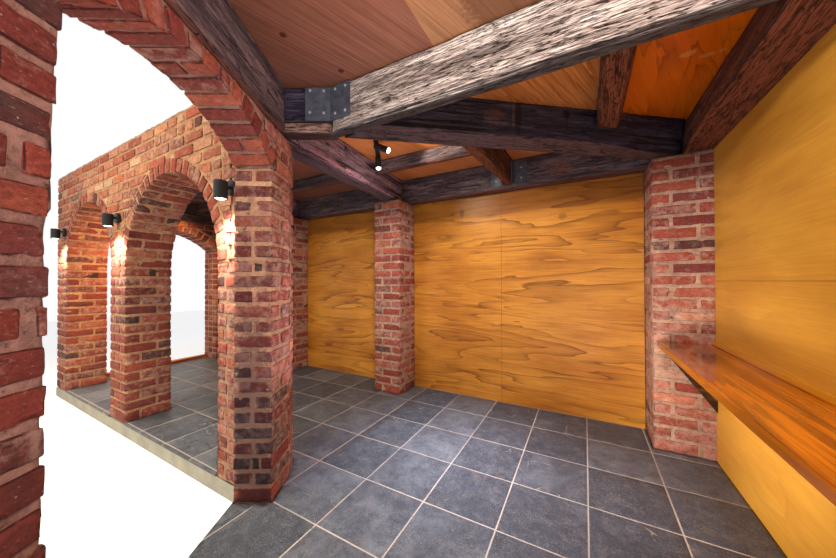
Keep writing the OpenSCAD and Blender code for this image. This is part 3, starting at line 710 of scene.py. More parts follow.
class Bricks:
    """The bricks of one piece, each held as its eight corners, in the frame of a wall"""

    def __init__(self, seed, place):
        self.corners, self.tones, self.glooms = [], [], []
        self.shift = self.gloom = 0.0
        self.place = place
        self.random = np.random.default_rng(seed)

    def add(self, corners):
        self.corners.append(np.array(corners, float).reshape(2, 2, 2, 3))
        self.tones.append(self.shift)
        self.glooms.append(self.gloom)

    def prism(self, rows, z):
        """An upright brick on a plan quad, which is given as two opposite edges"""
        self.add([[[p + np.array((0, 0, height)) for height in z] for p in row] for row in rows])

    def box(self, us, vs, z):
        """An upright brick on a rectangle of the wall's frame"""
        self.prism([[self.place(u, v) for v in vs] for u in us], z)

    def quoin(self, corner, toward_a, a, toward_b, b, z):
        """A corner brick that reaches a and b along the two faces"""
        da, db = toward_a - corner, toward_b - corner
        da, db = da / np.linalg.norm(da) * a, db / np.linalg.norm(db) * b
        self.prism([[corner, corner + db], [corner + da, corner + da + db]], z)

    def run(self, us, vs, z, phase=0.0, headers=0.18, low=None, high=None):
        """Fills a stretch of a course. low and high give its ends at a height, where they slant"""
        start = (us[0],) * 2 if low is None else (low(z[0]), low(z[1]))
        stop = (us[1],) * 2 if high is None else (high(z[0]), high(z[1]))
        first, last = sum(start) / 2, sum(stop) / 2
        pitch = LONG_BRICK + JOINT
        if last - first < 0.02:
            return
        cuts = []
        at = first + (phase - first) % pitch - pitch
        while at < last:
            cuts.append(at + self.random.uniform(-0.008, 0.008))
            if self.random.random() < headers:
                cuts.append(at + pitch / 2 + self.random.uniform(-0.006, 0.006))
            at += pitch
        edges = [first, *(c for c in cuts if first + SHORTEST < c < last - SHORTEST), last]
        for n in range(len(edges) - 1):
            left, right = edges[n] + JOINT / 2, edges[n + 1] - JOINT / 2
            a = start if n == 0 else (left, left)
            b = stop if n == len(edges) - 2 else (right, right)
            if min(b[0] - a[0], b[1] - a[1]) < 0.012:
                a, b = (min(a),) * 2, (max(b),) * 2
            self.add([[[self.place(u, v, height) for u, height in zip(side, z)] for v in vs]
                      for side in (a, b)])

    def ring(self, arch, count, splits, cap=None, joint=0.009):
        """Rowlock bricks round an arch; splits are ways to divide its thickness, in turn"""
        cu, cz = arch.centre
        pitch = 2 * arch.lean / count
        for n in range(count):
            angle = (n + 0.5) * pitch - arch.lean
            s, c = math.sin(angle), math.cos(angle)
            r0 = arch.radius + self.random.uniform(0.0, 0.003)
            r1 = arch.radius + RING + self.random.uniform(-0.006, 0.004)
            if cap is not None:
                r1 = min(r1, (cap - cz) / max(c, 0.05) - 0.004)
            half = (pitch * arch.radius - joint) / 2
            edges = ((r0, half), (r1, half + 0.0025))
            for vs in splits[n % len(splits)]:
                self.add([[[self.place(cu + s * r + side * c * h, v, cz + c * r - side * s * h)
                            for r, h in edges] for v in vs] for side in (-1, 1)])

    def pinwheel(self, low, size, z, turned):
        """One course of a pier of one and a half bricks: four bricks round a core"""
        width, depth = size
        cut_u, cut_v = width - HALF_BRICK, depth - HALF_BRICK
        for a0, a1, c0, c1 in ((0, cut_u - JOINT, 0, HALF_BRICK), (cut_u, width, 0, cut_v - JOINT),
                               (HALF_BRICK + JOINT, width, cut_v, depth),
                               (0, HALF_BRICK, HALF_BRICK + JOINT, depth)):
            if turned:
                a0, a1 = width - a1, width - a0
            self.box((low[0] + a0, low[0] + a1), (low[1] + c0, low[1] + c1), z)

    def askew(self, corners, reach, seed):
        """Pulls the ends and beds in unevenly, as on handmade bricks"""
        draw = np.random.default_rng(2000 + seed)
        count = len(corners)
        for axis, pulls, most in ((1, (count, 1, 2, 1), reach), (3, (count, 2, 1, 1), reach * 0.6)):
            low, high = np.take(corners, 0, axis), np.take(corners, 1, axis)
            way = (high - low) / np.linalg.norm(high - low, axis=-1, keepdims=True)
            low = low + way * draw.uniform(0, most, pulls)
            high = high - way * draw.uniform(0, most, pulls)
            corners = np.stack([low, high], axis)
        return corners

    def build(self, name, cells, seed, rough=0.0022, rounding=0.009, smear=0.45, uneven=0.003):
        """Makes the piece: rounded, worn blocks, each mapped into its own corners"""
        corners = self.askew(np.array(self.corners), uneven, seed)
        grid, quads = block_shell(cells)
        count, points = len(corners), len(grid)
        sides = np.stack([np.linalg.norm(np.diff(corners, axis=axis), axis=-1).mean((1, 2, 3))
                          for axis in (1, 2, 3)], 1)
        draw = np.random.default_rng(1000 + seed)
        radius = np.minimum(draw.uniform(0.7, 1.3, count) * rounding, sides.min(1) * 0.3)
        share = radius[:, None] / sides
        inner = (grid - 1) / (np.array(cells) - 2)
        t = share[:, None] + inner[None] * (1 - 2 * share[:, None])
        t = np.where(grid[None] == 0, 0.0, np.where(grid[None] == cells, 1.0, t))
        local = t * sides[:, None]
        edge = np.sort(np.minimum(local, sides[:, None] - local), axis=-1)[:, :, 1]
        core = np.clip(local, radius[:, None, None], sides[:, None] - radius[:, None, None])
        out = local - core
        out /= np.maximum(np.linalg.norm(out, axis=-1, keepdims=True), 1e-9)
        here = (local + draw.uniform(0, 40, (count, 1, 3))).reshape(-1, 3)
        worn = 0.6 * noise(here, 0.055, 1) + 0.4 * noise(here, 0.018, 2)
        chips = smooth(0.62, 0.85, noise(here, 0.030, 3)).reshape(count, points)
        chips *= smooth(0.022, 0.0, edge) * 0.006
        depth = rough * 2 * worn.reshape(count, points) + chips
        depth += draw.uniform(0, 0.0015, (count, 1))
        local = core + out * (radius[:, None] - depth)[..., None]
        t = local / sides[:, None]
        weight = np.stack([1 - t, t], 2)
        place = np.einsum("bpi,bpj,bpk,bijkx->bpx", weight[..., 0], weight[..., 1], weight[..., 2],
                          corners, optimize=True)
        ways = np.stack([corners[:, 1, 0, 0], corners[:, 0, 1, 0], corners[:, 0, 0, 1]], 1)
        spin = np.linalg.det(ways - corners[:, 0, 0, :1])
        faces = quads[None] + np.arange(count)[:, None, None] * points
        faces = np.where((spin < 0)[:, None, None], faces[..., ::-1], faces)
        tone = draw.normal(0.48, 0.17, count) + self.tones
        tone = np.where(draw.random(count) < 0.04, 0.14, tone)
        tone = np.where(np.array(self.tones) <= PLUG, 0.0, np.clip(tone, 0.10, 1.0))
        shade = draw.random(count) - self.glooms
        limed = np.clip(draw.normal(smear, 0.35, count) + np.clip(self.tones, 0, None), 0, 1)
        new_piece(name, place.reshape(-1, 3), faces.reshape(-1, 4), "brickwork", BRICK_LOOK,
                  tone=np.repeat(tone, points), shade=np.repeat(shade, points),
                  smear=np.repeat(limed, points), edge=edge.ravel())


def courses(first, top):
    """Number, and bottom and top, of each course from a course's number up to a height"""
    n = first
    while n * COURSE < top - 0.02:
        foot = FOOT if n == 0 else n * COURSE + JOINT / 2
        yield n, (foot, min((n + 1) * COURSE - JOINT / 2, top))
        n += 1


def leaves(thick, inset=0.0):
    """The two outer leaves of a wall"""
    return (0, HALF_BRICK - inset), (thick - HALF_BRICK + inset, thick)


def bonds(thick):
    """Splits of an arch's thickness in two: long brick first, then short brick first"""
    short = thick - LONG_BRICK - JOINT
    return [[(0, first), (first + JOINT, thick)] for first in (LONG_BRICK, short)]


# Near arcade: its pier, and the segmental arch that springs from the corner pier

# Courses of the near pier that end in a narrow closer, and its width
CLOSERS = {13: 0.032, 17: 0.063}
# Bond of the corner pier's reveal from the floor up to the arch: a stretcher, two headers,
# or two round a plug, whose sides follow
REVEAL = "SHPHSHHSHHSHSHSPHHSHSH"
PLUGS = {2: (0.098, 0.150), 15: (0.111, 0.171)}


def near_arcade_bricks():
    b = Bricks(11, near_pt)
    b.shift, b.gloom = -0.14, 0.20
    across, last = (0, NEAR_T), (NEAR_END - HALF_BRICK, NEAR_END)
    for n, z in courses(0, NEAR_SPRING):
        z = z[0] - 0.001, z[1] + 0.001
        rise = (sum(z) / 2 - LEAN_FOOT) / (NEAR_SPRING - LEAN_FOOT)
        jamb = NEAR_JAMB - NEAR_LEAN * np.clip(rise, 0, 1) + b.random.uniform(-0.007, 0.003)
        closer = CLOSERS.get(n, HALF_BRICK)
        b.box((jamb, jamb + closer) if n % 2 else last, across, z)
        spread = (jamb + closer + JOINT, NEAR_END) if n % 2 else (jamb, last[0] - JOINT)
        for v in ((0, (NEAR_T - JOINT) / 2), ((NEAR_T + JOINT) / 2, NEAR_T)):
            b.box(spread, v, z)
    b.shift = b.gloom = 0.0
    whole, halves = [across], [(0, HALF_BRICK), (HALF_BRICK + JOINT / 2, NEAR_T)]
    b.ring(NEAR_ARCH, 13, [whole, halves, whole, whole, whole], cap=BEAM_Z, joint=0.004)
    stop = NEAR_ARCH.stop(1)
    for n, z in courses(len(REVEAL), BEAM_Z):
        end = NEAR_END
        if n % 2:
            b.box(last, across, z)
            end = last[0] - JOINT
        for v in leaves(NEAR_T, 0.003):
            b.run((0, end), v, z, end + JOINT / 2, low=stop)
    for n, z in courses(TOP_COURSE, ARCADE_H):
        if z[0] > BEAM_Z - 0.02:
            b.run((0, NEAR_END), (0, HALF_BRICK), z, n % 2 * LAP)
    b.build("near_arcade_bricks", (13, 6, 6), 1, rough=0.0026, rounding=0.010, smear=0.14,
            uneven=0.0045)


# Corner pier: two wings that meet at the turn, with a squint on the aisle side

# u where the two walls' aisle faces meet; the squint cuts that corner
FACES_MEET = (NEAR_T * math.cos(TURN) - LONG_T) / math.sin(TURN)
SQUINT_U = FACES_MEET + 0.150
SQUINT_1 = near_pt(SQUINT_U, NEAR_T)
SQUINT_2 = near_pt(FACES_MEET, NEAR_T) - np.array([0.052, 0, 0])
SQUINT_LEG = 0.186
IN_LEG = 0.082
# End of the stretch of the right arch's courses that belongs to this pier
WING_END = 0.3


def corner_pier_bricks():
    b = Bricks(12, near_pt)
    jamb_in, jamb_out = long_pt(LONG_STUB, 0), long_pt(LONG_STUB, LONG_T)
    near_stop, right_stop = NEAR_ARCH.stop(-1), RIGHT_ARCH.stop(-1)
    squint = np.linalg.norm(SQUINT_1 - SQUINT_2)
    inner, outer = leaves(LONG_T)
    for n, z in courses(0, BEAM_Z):
        arched = n >= len(REVEAL)
        bond = "SH"[n % 2] if arched else REVEAL[n]
        # Reveal bricks: given gloom, and darker and more purple toward the floor: painted shade, with
        # some grime
        b.place, b.shift, b.gloom = near_pt, -0.28 * smooth(1.05, 0.35, z[0]), 0.25
        shift = b.random.uniform(-0.010, 0.010)
        if bond == "S":
            reach = near_stop(sum(z) / 2)
            if not arched:
                b.box((NEAR_STUB - HALF_BRICK, NEAR_STUB), (0, NEAR_T), z)
                reach = NEAR_STUB - HALF_BRICK - JOINT
            b.shift, b.gloom = AISLE
            half = (squint - JOINT) / 2 + shift
            b.quoin(SQUINT_1, near_pt(reach, NEAR_T), reach - SQUINT_U, SQUINT_2, half, z)
            corner, leg, across, in_reach = squint - half - JOINT, SQUINT_LEG, LONG_BRICK, IN_LEG + shift
        else:
            if arched:
                for u, v in zip((SQUINT_U, 0), leaves(NEAR_T)[::-1]):
                    b.run((u, 0), v, z, headers=0, high=near_stop)
            else:
                split = (NEAR_T + shift) / 2
                first, last = PLUGS.get(n, (split, split))
                gap = 0.003 if bond == "P" else JOINT / 2
                b.box((SQUINT_U, NEAR_STUB), (last + gap, NEAR_T), z)
                b.box((-HALF_BRICK, NEAR_STUB), (0, first - gap), z)
                if bond == "P":
                    b.shift = PLUG
                    b.box((0, NEAR_STUB - 0.003), (first, last), z)
            b.shift, b.gloom = AISLE
            corner, leg, across, in_reach = squint - JOINT, HALF_BRICK, HALF_BRICK, HALF_BRICK + shift / 2
        b.quoin(SQUINT_2, SQUINT_1, corner, jamb_out, leg, z)
        b.place, b.shift, b.gloom = long_pt, 0.0, 0.0
        corner_end = leg + JOINT - SQUINT_2[0]
        if n < LOW_COURSES:
            b.run((corner_end, LONG_STUB), outer, z, corner_end, headers=0)
            b.place = jamb_pt
            b.run((LAP, LONG_T - LAP), inner, z, LAP + across, headers=0)
            b.quoin(jamb_in, jamb_out, HALF_BRICK, long_pt(0, 0), in_reach, z)
            b.place, b.shift = long_pt, 0.15
            b.run((0, LONG_STUB - in_reach - JOINT), inner, z, -0.01, headers=0)
        else:
            b.run((corner_end, WING_END), outer, z, corner_end, headers=0, high=right_stop)
            b.shift = ROOM
            b.run((0, WING_END), inner, z, n % 2 * LAP, headers=0.1, high=right_stop)
    b.build("corner_pier_bricks", (9, 5, 5), 2, rough=0.0028, rounding=0.011, smear=0.85,
            uneven=0.005)


# Long arcade: two piers and two half circles

def long_arcade_bricks():
    b = Bricks(13, long_pt)
    # Plugs in the top course under the springing: jamb and depth range
    plugs = ((RIGHT_JAMB, (0.168, 0.221)), (LEFT_JAMB_2, (0.126, 0.270)))
    for n, z in courses(0, LOW_TOP):
        for u, _ in plugs:
            b.pinwheel((u, 0), (PIER_W, LONG_T), z, n % 2)
    b.shift = PLUG
    for u, v in plugs:
        b.box((u - 0.002, u + 0.05), v, z)
    b.shift = 0.08
    b.ring(RIGHT_ARCH, 26, bonds(LONG_T))
    b.ring(LEFT_ARCH, 24, bonds(LONG_T))
    stretches = ((RIGHT_ARCH.stop(1), LEFT_ARCH.stop(-1)), (LEFT_ARCH.stop(1), lambda z: ARCADE_END))
    crown = LONG_CROWN + RING + JOINT
    for n, z in courses(LOW_COURSES, ARCADE_H):
        phase = n % 2 * LAP
        for v, b.shift in zip(leaves(LONG_T), (ROOM, 0.0)):
            if v[0] and z[1] >= BEAM_Z + 0.03:
                continue
            if z[0] > crown - 0.03:
                b.run((0, ARCADE_END), v, z, phase)
                continue
            for low, high in stretches:
                b.run((0, 0), v, z, phase, low=low, high=high)
            if z[1] > crown:
                b.run((0, RIGHT_JAMB / 2), v, z, phase)
    b.build("long_arcade_bricks", (6, 4, 4), 3, smear=0.5, uneven=0.004)


# End arch, and the piers along the back wall

def end_wall_bricks():
    b = Bricks(14, end_pt)
    for n, z in courses(0, END_SPRING):
        first = END_JAMB + (HALF_BRICK if n % 2 else LONG_BRICK)
        for v in leaves(PIER_W):
            b.box((END_JAMB, first), v, z)
            b.run((first + JOINT, BACK_BRICK), v, z, first, headers=0)
        b.box((END_JAMB, END_JAMB + HALF_BRICK),
              (HALF_BRICK + JOINT, PIER_W - HALF_BRICK - JOINT), z)
    b.ring(END_ARCH, 16, bonds(PIER_W))
    stop = END_ARCH.stop(1)
    for n, z in courses(math.ceil(END_SPRING / COURSE), BEAM_Z):
        for v in leaves(PIER_W):
            b.run((0, BACK_BRICK), v, z, n % 2 * LAP, low=stop)
    for n, z in courses(TOP_COURSE, DECK_TOP):
        b.run((LONG_T, BACK_BRICK), leaves(PIER_W)[1], z, n % 2 * LAP)
    b.build("end_wall_bricks", (5, 3, 3), 4, smear=0.4)


def back_pier_bricks():
    b = Bricks(15, plain_pt)
    # Which way the first course turns, how much paler the lower courses are, and the gloom
    for node, turn, paler, gloom in (("back_pier_left", 0, 0.0, -0.45),
                                     ("back_pier_middle", 1, 0.0, -0.45),
                                     ("back_pier_right", 0, 0.22, 0.0)):
        low, high = plan_box(node)
        b.gloom = gloom
        for n, z in courses(0, BEAM_Z):
            b.shift = 0.08 + paler * smooth(1.30, 1.15, z[0])
            b.pinwheel(low, (high - low)[:2], z, (n + turn) % 2)
    b.build("back_pier_bricks", (7, 4, 4), 5, smear=0.50, uneven=0.0045)


# Outer walls: their outer faces and plain ends

def outer_wall_bricks():
    wall_t = RIGHT_OUT - RIGHT_BRICK
    back, right = Bricks(16, back_pt), Bricks(17, right_pt)
    length, side = RIGHT_OUT + ARCADE_END, BACK_OUT - NEAR_Y
    for n, z in courses(0, DECK_TOP):
        first, second = (HALF_BRICK, LONG_BRICK) if n % 2 else (LONG_BRICK, HALF_BRICK)
        halves = ((0, (wall_t - JOINT) / 2), ((wall_t + JOINT) / 2, wall_t))
        for b, far, end in ((back, length, second), (right, side, first)):
            for v in [(0, wall_t)] if n % 2 else halves:
                b.box((0, first), v, z)
            b.run((first + JOINT, far - end - JOINT), (0, HALF_BRICK), z, first + JOINT / 2,
                  headers=0.25)
        back.quoin(back_pt(length, 0), back_pt(0, 0), second, right_pt(0, 0), first, z)
    back.build("back_wall_bricks", (3, 3, 3), 6, smear=0.3)
    right.build("right_wall_bricks", (3, 3, 3), 7, smear=0.3)


# Meshes of the CAD nodes, cut into cells

def plan_bmesh(node, whole=True):
    """A CAD node's mesh in the plan's frame, with its flat faces made whole"""
    bm = bmesh.new()
    bm.from_mesh(cad[node].data)
    if whole:
        bmesh.ops.remove_doubles(bm, verts=bm.verts, dist=1e-5)
        bmesh.ops.dissolve_limit(bm, angle_limit=math.radians(0.5), verts=bm.verts, edges=bm.edges)
    bmesh.ops.translate(bm, verts=bm.verts, vec=Vector(-PLAN))
    return bm


def slice_at(bm, direction, places):
    """Cuts a mesh across a direction, at places along it"""
    for at in places:
        bmesh.ops.bisect_plane(bm, geom=bm.verts[:] + bm.edges[:] + bm.faces[:], dist=1e-6,
                               plane_co=direction * at, plane_no=direction)


def points_of(bm):
    """The points of a mesh, once its faces have no more than four corners"""
    bmesh.ops.triangulate(bm, faces=[f for f in bm.faces if len(f.verts) > 4])
    bm.verts.ensure_lookup_table()
    return np.array([v.co for v in bm.verts])


def cut_cells(bm, spacings):
    """Cuts a mesh by evenly spaced planes, each a direction and a spacing; gives its points"""
    for direction, spacing in spacings:
        direction = Vector(direction).normalized()
        reach = [v.co.dot(direction) for v in bm.verts]
        low, high = min(reach), max(reach)
        count = max(int(round((high - low) / spacing)), 1)
        slice_at(bm, direction, [low + (high - low) * n / count for n in range(1, count)])
    return points_of(bm)


# A tree of faces for each CAD node, with the node's box
SOLIDS = {name: (BVHTree.FromBMesh(plan_bmesh(name, whole=False)), *plan_box(name)) for name in cad}
SLANT = Vector((0.013, 0.017, 0.011))


def inside(tree, point, direction):
    """True if a ray from the point leaves the solid more often than it enters it"""
    ray, crossings = (direction + SLANT).normalized(), 0
    place = tree.ray_cast(point, ray)[0]
    while place is not None:
        crossings += 1
        place = tree.ray_cast(place + ray * 1e-5, ray)[0]
    return crossings % 2 == 1


def covered(own, point, direction):
    """True if the place just before a face of a node is inside another node"""
    place = point + direction * 0.003
    return any(inside(tree, place, direction) for name, (tree, low, high) in SOLIDS.items()
               if name != own and np.all(np.array(place) > low) and np.all(np.array(place) < high))


# Mortar: each brick node's own form, drawn in a little from its open faces

def mortar_core(node, spacing, least, most, seed, look=MORTAR_LOOK, directions=(X, Y, Z)):
    bm = plan_bmesh(node)
    for face in bm.faces:
        face.material_index = int(covered(node, face.calc_center_median(), face.normal))
    points = cut_cells(bm, [(d, spacing) for d in directions])
    bm.normal_update()
    inset = least + (most - least) * noise(points, 0.045, seed)
    inset += 0.0015 * (noise(points, 0.012, seed + 1) - 0.5)
    for vert, depth in zip(bm.verts, inset):
        normals, goals = [], []
        for face in vert.link_faces:
            if all(face.normal.dot(n) < 0.9 for n in normals):
                normals.append(face.normal.copy())
                goals.append(0.0 if face.material_index else -depth)
        if any(goals):
            move = np.linalg.lstsq(np.array(normals), np.array(goals), rcond=1e-3)[0]
            vert.co += Vector(move)
    for face in bm.faces:
        face.material_index = 0
    replace_node(bm, node, node + "_mortar", "brickwork", [look])


def mortar_cores():
    near = (NEAR_U, NEAR_V, Z)
    mortar_core("near_pier", 0.022, 0.0065, 0.012, 0, NEAR_MORTAR, near)
    mortar_core("near_arch", 0.022, 0.011, 0.018, 1, NEAR_MORTAR, near)
    mortar_core("corner_pier", 0.026, 0.007, 0.015, 3, CORNER_MORTAR)
    for seed, part in enumerate(("arch_right", "mid_pier", "arch_left", "end_pier"), 4):
        mortar_core("arcade_" + part, 0.040, 0.006, 0.013, seed, ARCADE_MORTAR)
    for seed, part in enumerate(("left", "middle", "right"), 8):
        mortar_core("back_pier_" + part, 0.035, 0.004, 0.009, seed)
    for seed, node in enumerate(("end_wall_arch", "end_wall_pier", "back_wall", "right_wall"), 11):
        mortar_core(node, 0.090, 0.006, 0.013, seed)


# Timbers

def old_timber(node, axis, finish, seed, along=0.035, across=0.008, round_by=0.010, rough=0.004,
               cracks=0.006, slot="dark_timber", knots=()):
    """A CAD timber cut into cells, its arrises rounded, its faces worn along the grain"""
    bm = plan_bmesh(node)
    axis = Vector(axis).normalized()
    side = Vector(Z).cross(axis).normalized()
    layer = bm.faces.layers.int.new("island")
    planes = []
    for n, island in enumerate(islands(bm)):
        planes.append([(f.normal.copy(), f.normal.dot(f.verts[0].co)) for f in island])
        for face in island:
            face[layer] = n
    points = cut_cells(bm, [(side, across), (Z, across), (axis, along)])
    owner = np.array([v.link_faces[0][layer] for v in bm.verts])
    moved = points.copy()
    hollow = np.zeros(len(points))
    grain = points @ np.array([axis, side, Vector(Z)]).T
    worn = rough * (0.55 * noise(grain, (0.22, 0.030, 0.030), seed) +
                    0.45 * noise(grain, (0.10, 0.010, 0.010), seed + 1))
    shake = smooth(0.74, 0.86, noise(grain, (0.45, 0.016, 0.016), seed + 2))
    for n, faces in enumerate(planes):
        mine = owner == n
        here = points[mine]
        # Faces that turn little from one to the next push as one
        groups = []
        for normal, level in faces:
            reach = np.clip(round_by - np.maximum(level - here @ np.array(normal), 0), 0, None)
            for group in groups:
                if group[0].dot(normal) > 0.93:
                    closer = reach > group[2]
                    group[1][closer] = np.array(normal)
                    group[2][:] = np.maximum(group[2], reach)
                    break
            else:
                groups.append([normal, np.tile(np.array(normal), (len(here), 1)), reach])
        push = sum(normals * reach[:, None] for _, normals, reach in groups)
        out = push / np.maximum(np.linalg.norm(push, axis=1, keepdims=True), 1e-9)
        depth = worn[mine] + cracks * shake[mine]
        moved[mine] = here - push + out * (round_by - depth)[:, None]
        hollow[mine] = shake[mine]
    for centre, radius, depth in knots:
        gap = np.linalg.norm((moved - np.array(centre)) * (0.7, 1, 1), axis=1)
        dent = smooth(radius, radius * 0.4, gap)
        towards = np.array(centre) - points.mean(0)
        towards -= np.array(axis) * (towards @ np.array(axis))
        moved -= towards / np.linalg.norm(towards) * (dent * depth)[:, None]
        hollow = np.maximum(hollow, dent)
    for vert, place in zip(bm.verts, moved):
        vert.co = place
    replace_node(bm, node, node + "_worn", slot, [finish], grain=grain, hollow=hollow)


def islands(bm):
    """The faces of each separate solid"""
    left, found = set(bm.faces), []
    while left:
        stack, group = [left.pop()], []
        while stack:
            face = stack.pop()
            group.append(face)
            for edge in face.edges:
                for other in edge.link_faces:
                    if other in left:
                        left.remove(other)
                        stack.append(other)
        found.append(group)
    return found


def direction_of(node):
    """The level direction in which a timber runs: its longest upright face's"""
    bm = plan_bmesh(node)
    face = max((f for f in bm.faces if abs(f.normal.z) < 0.5), key=lambda f: f.calc_area())
    return Vector(Z).cross(face.normal).normalized()


# Places, radii and depths of the knots in the crossing beam's face
CROSS_KNOTS = (((0.854, CROSS_FRONT, 2.240), 0.022, 0.014),
               ((1.013, CROSS_FRONT, 2.330), 0.015, 0.010))


def timbers():
    fine = {"across": 0.006, "along": 0.025}
    old_timber("cross_beam", direction_of("cross_beam"), GREY_TIMBER, 21, across=0.005, along=0.025,
               rough=0.009, cracks=0.012, round_by=0.012, slot="weathered_timber", knots=CROSS_KNOTS)
    old_timber("diagonal_beam", direction_of("diagonal_beam"), DARK_TIMBER, 22, **fine)
    old_timber("near_arcade_beam", direction_of("near_arcade_beam"), BROWN_TIMBER, 23, **fine)
    old_timber("corner_block", NEAR_V, DARK_TIMBER, 24, **fine)
    old_timber("corner_bearer", NEAR_V, BEARER_TIMBER, 25, slot="red_timber", **fine)
    old_timber("right_beam", Y, RED_TIMBER, 26, across=0.006, along=0.040)
    for n, (node, look) in enumerate((
            ("tie_beam_right", PURPLE_TIMBER), ("tie_beam_left", PURPLE_TIMBER),
            ("back_beam", BROWN_TIMBER), ("end_beam", BROWN_TIMBER), ("near_beam", BROWN_TIMBER),
            ("long_arcade_beam_right", BROWN_TIMBER), ("long_arcade_beam_left", BROWN_TIMBER))):
        old_timber(node, direction_of(node), look, 30 + 3 * n, along=0.045)
    old_timber("trimmer_joists", Y, RED_TIMBER, 60, across=0.007, rough=0.008)
    old_timber("light_joists", X, BROWN_TIMBER, 63)


# Slate floor: slates on a square grid, with recessed grout and a soft edge

TILE = 0.4072
TILE_AT = (0.1801, 0.4280)
GROUT = 0.0075
SLATE_RIM = GROUT / 2 + 0.003
SLATE_CELLS = 9


def slates():
    bm = plan_bmesh("slate_floor")
    low, high = plan_box("slate_floor")
    inner = (TILE - 2 * SLATE_RIM) / SLATE_CELLS
    cuts = [-SLATE_RIM, -GROUT / 2, GROUT / 2, *(SLATE_RIM + inner * n for n in range(SLATE_CELLS))]
    for axis in (0, 1):
        at = TILE_AT[axis] + math.floor((low[axis] - TILE_AT[axis]) / TILE) * TILE
        while at < high[axis]:
            slice_at(bm, Vector((X, Y)[axis]), [at + place for place in cuts])
            at += TILE
    points = points_of(bm)
    cell = (points[:, :2] - TILE_AT) / TILE
    near = np.abs(cell - np.round(cell)).min(1) * TILE
    column, row = np.floor(cell).astype(np.int64).T
    bed = smooth(SLATE_RIM, GROUT / 2 - 0.0005, near)
    riven = 0.0016 * noise(points, 0.16, 71) + 0.0008 * noise(points, 0.045, 72)
    level = lattice(column, row, 0, 73) * 0.0010
    drop = np.where(bed > 0.99, 0.0028, bed * 0.0012 + riven + level)
    for vert, height, depth in zip(bm.verts, points[:, 2], drop):
        if height > -1e-4:
            vert.co.z -= depth
    for face in bm.faces:
        place = (np.array(face.calc_center_median())[:2] - TILE_AT) / TILE
        face.material_index = int(np.abs(place - np.round(place)).min() * TILE < GROUT / 2)
    replace_node(bm, "slate_floor", "slates", "slate", [SLATE_LOOK, GROUT_LOOK],
                 tone=lattice(column, row, 0, 37705))


# Finishes of the CAD nodes that keep their own form

DRESSED = (
    (CONCRETE_LOOK, "floor_slab"), (RIGHT_PLY, "right_panel"), (STEEL, "joint_plate"),
    (BACK_PLY, "back_panel_left", "back_panel_middle", "back_panel_right"),
    (NEAR_SHEET, "ceiling_near", "ceiling_left"), (CORNER_SHEET, "ceiling_corner"),
    (LEFT_SHEET, "ceiling_back"), (VARNISH, "end_threshold", "wall_shelf"),
    (BRACKET_WOOD, "shelf_brackets"), (LAMP_BLACK, "wall_lamps", "ceiling_spots"))


def dress_nodes():
    for look, *nodes in DRESSED:
        for node in nodes:
            slots = cad[node].data.materials
            slots.clear()
            slots.append(look)


# Bolts, lenses and cleats

# Bolts of the joint plate: along each leaf, and their heights
PLATE_FRONT = -0.018
PLATE_T = 0.008
BLOCK_BOLTS = ((0.390, 2.280), (0.390, 2.416), (0.474, 2.278), (0.474, 2.414))
BEAM_BOLTS = ((0.476, 2.266), (0.476, 2.413), (0.557, 2.264), (0.557, 2.411))
# Pivot and face of each ceiling spot
SPOT_FACES = (((0.250, 0.988, 2.395), (0.350, 1.023, 2.350)),
              ((0.100, 1.221, 2.395), (0.107, 1.219, 2.310)))
LAMP_PLACES = (-0.115, -1.905, -3.471)
LAMP_UNDER = 1.740
# Bent plates that hold the back joist: leaf end, fold and flange end in plan, and which side
CLEATS = ((((1.1865, 1.868), (1.1890, 1.962), (1.3180, 1.962)), 1),
          (((1.0965, 1.868), (1.1020, 1.962), (0.9750, 1.962)), -1))
CLEAT_Z = (2.196, 2.396)
CLEAT_T = 0.006
DISC_RINGS = 5
DISC_SIDES = 20


def tube(start, rows, count):
    """Quads between rows of points that close on themselves"""
    for row in range(rows):
        a = start + row * count
        for n in range(count):
            m = (n + 1) % count
            yield a + n, a + m, a + count + m, a + count + n


def discs(name, places, radius, rise, slot, material):
    """Domed discs, each at a place and facing a way"""
    verts, faces = [], []
    for place, toward in places:
        out = Vector(toward).normalized()
        side = out.orthogonal().normalized()
        over = out.cross(side)
        faces += tube(len(verts), DISC_RINGS, DISC_SIDES)
        for ring in range(DISC_RINGS + 1):
            angle = ring / DISC_RINGS * math.pi / 2
            reach, height = radius * math.cos(angle) + 0.0004, rise * math.sin(angle)
            for n in range(DISC_SIDES):
                turn = 2 * math.pi * n / DISC_SIDES
                flat = side * math.cos(turn) + over * math.sin(turn)
                verts.append(np.array(place) + np.array(flat) * reach + np.array(out) * height)
    new_piece(name, verts, faces, slot, material)


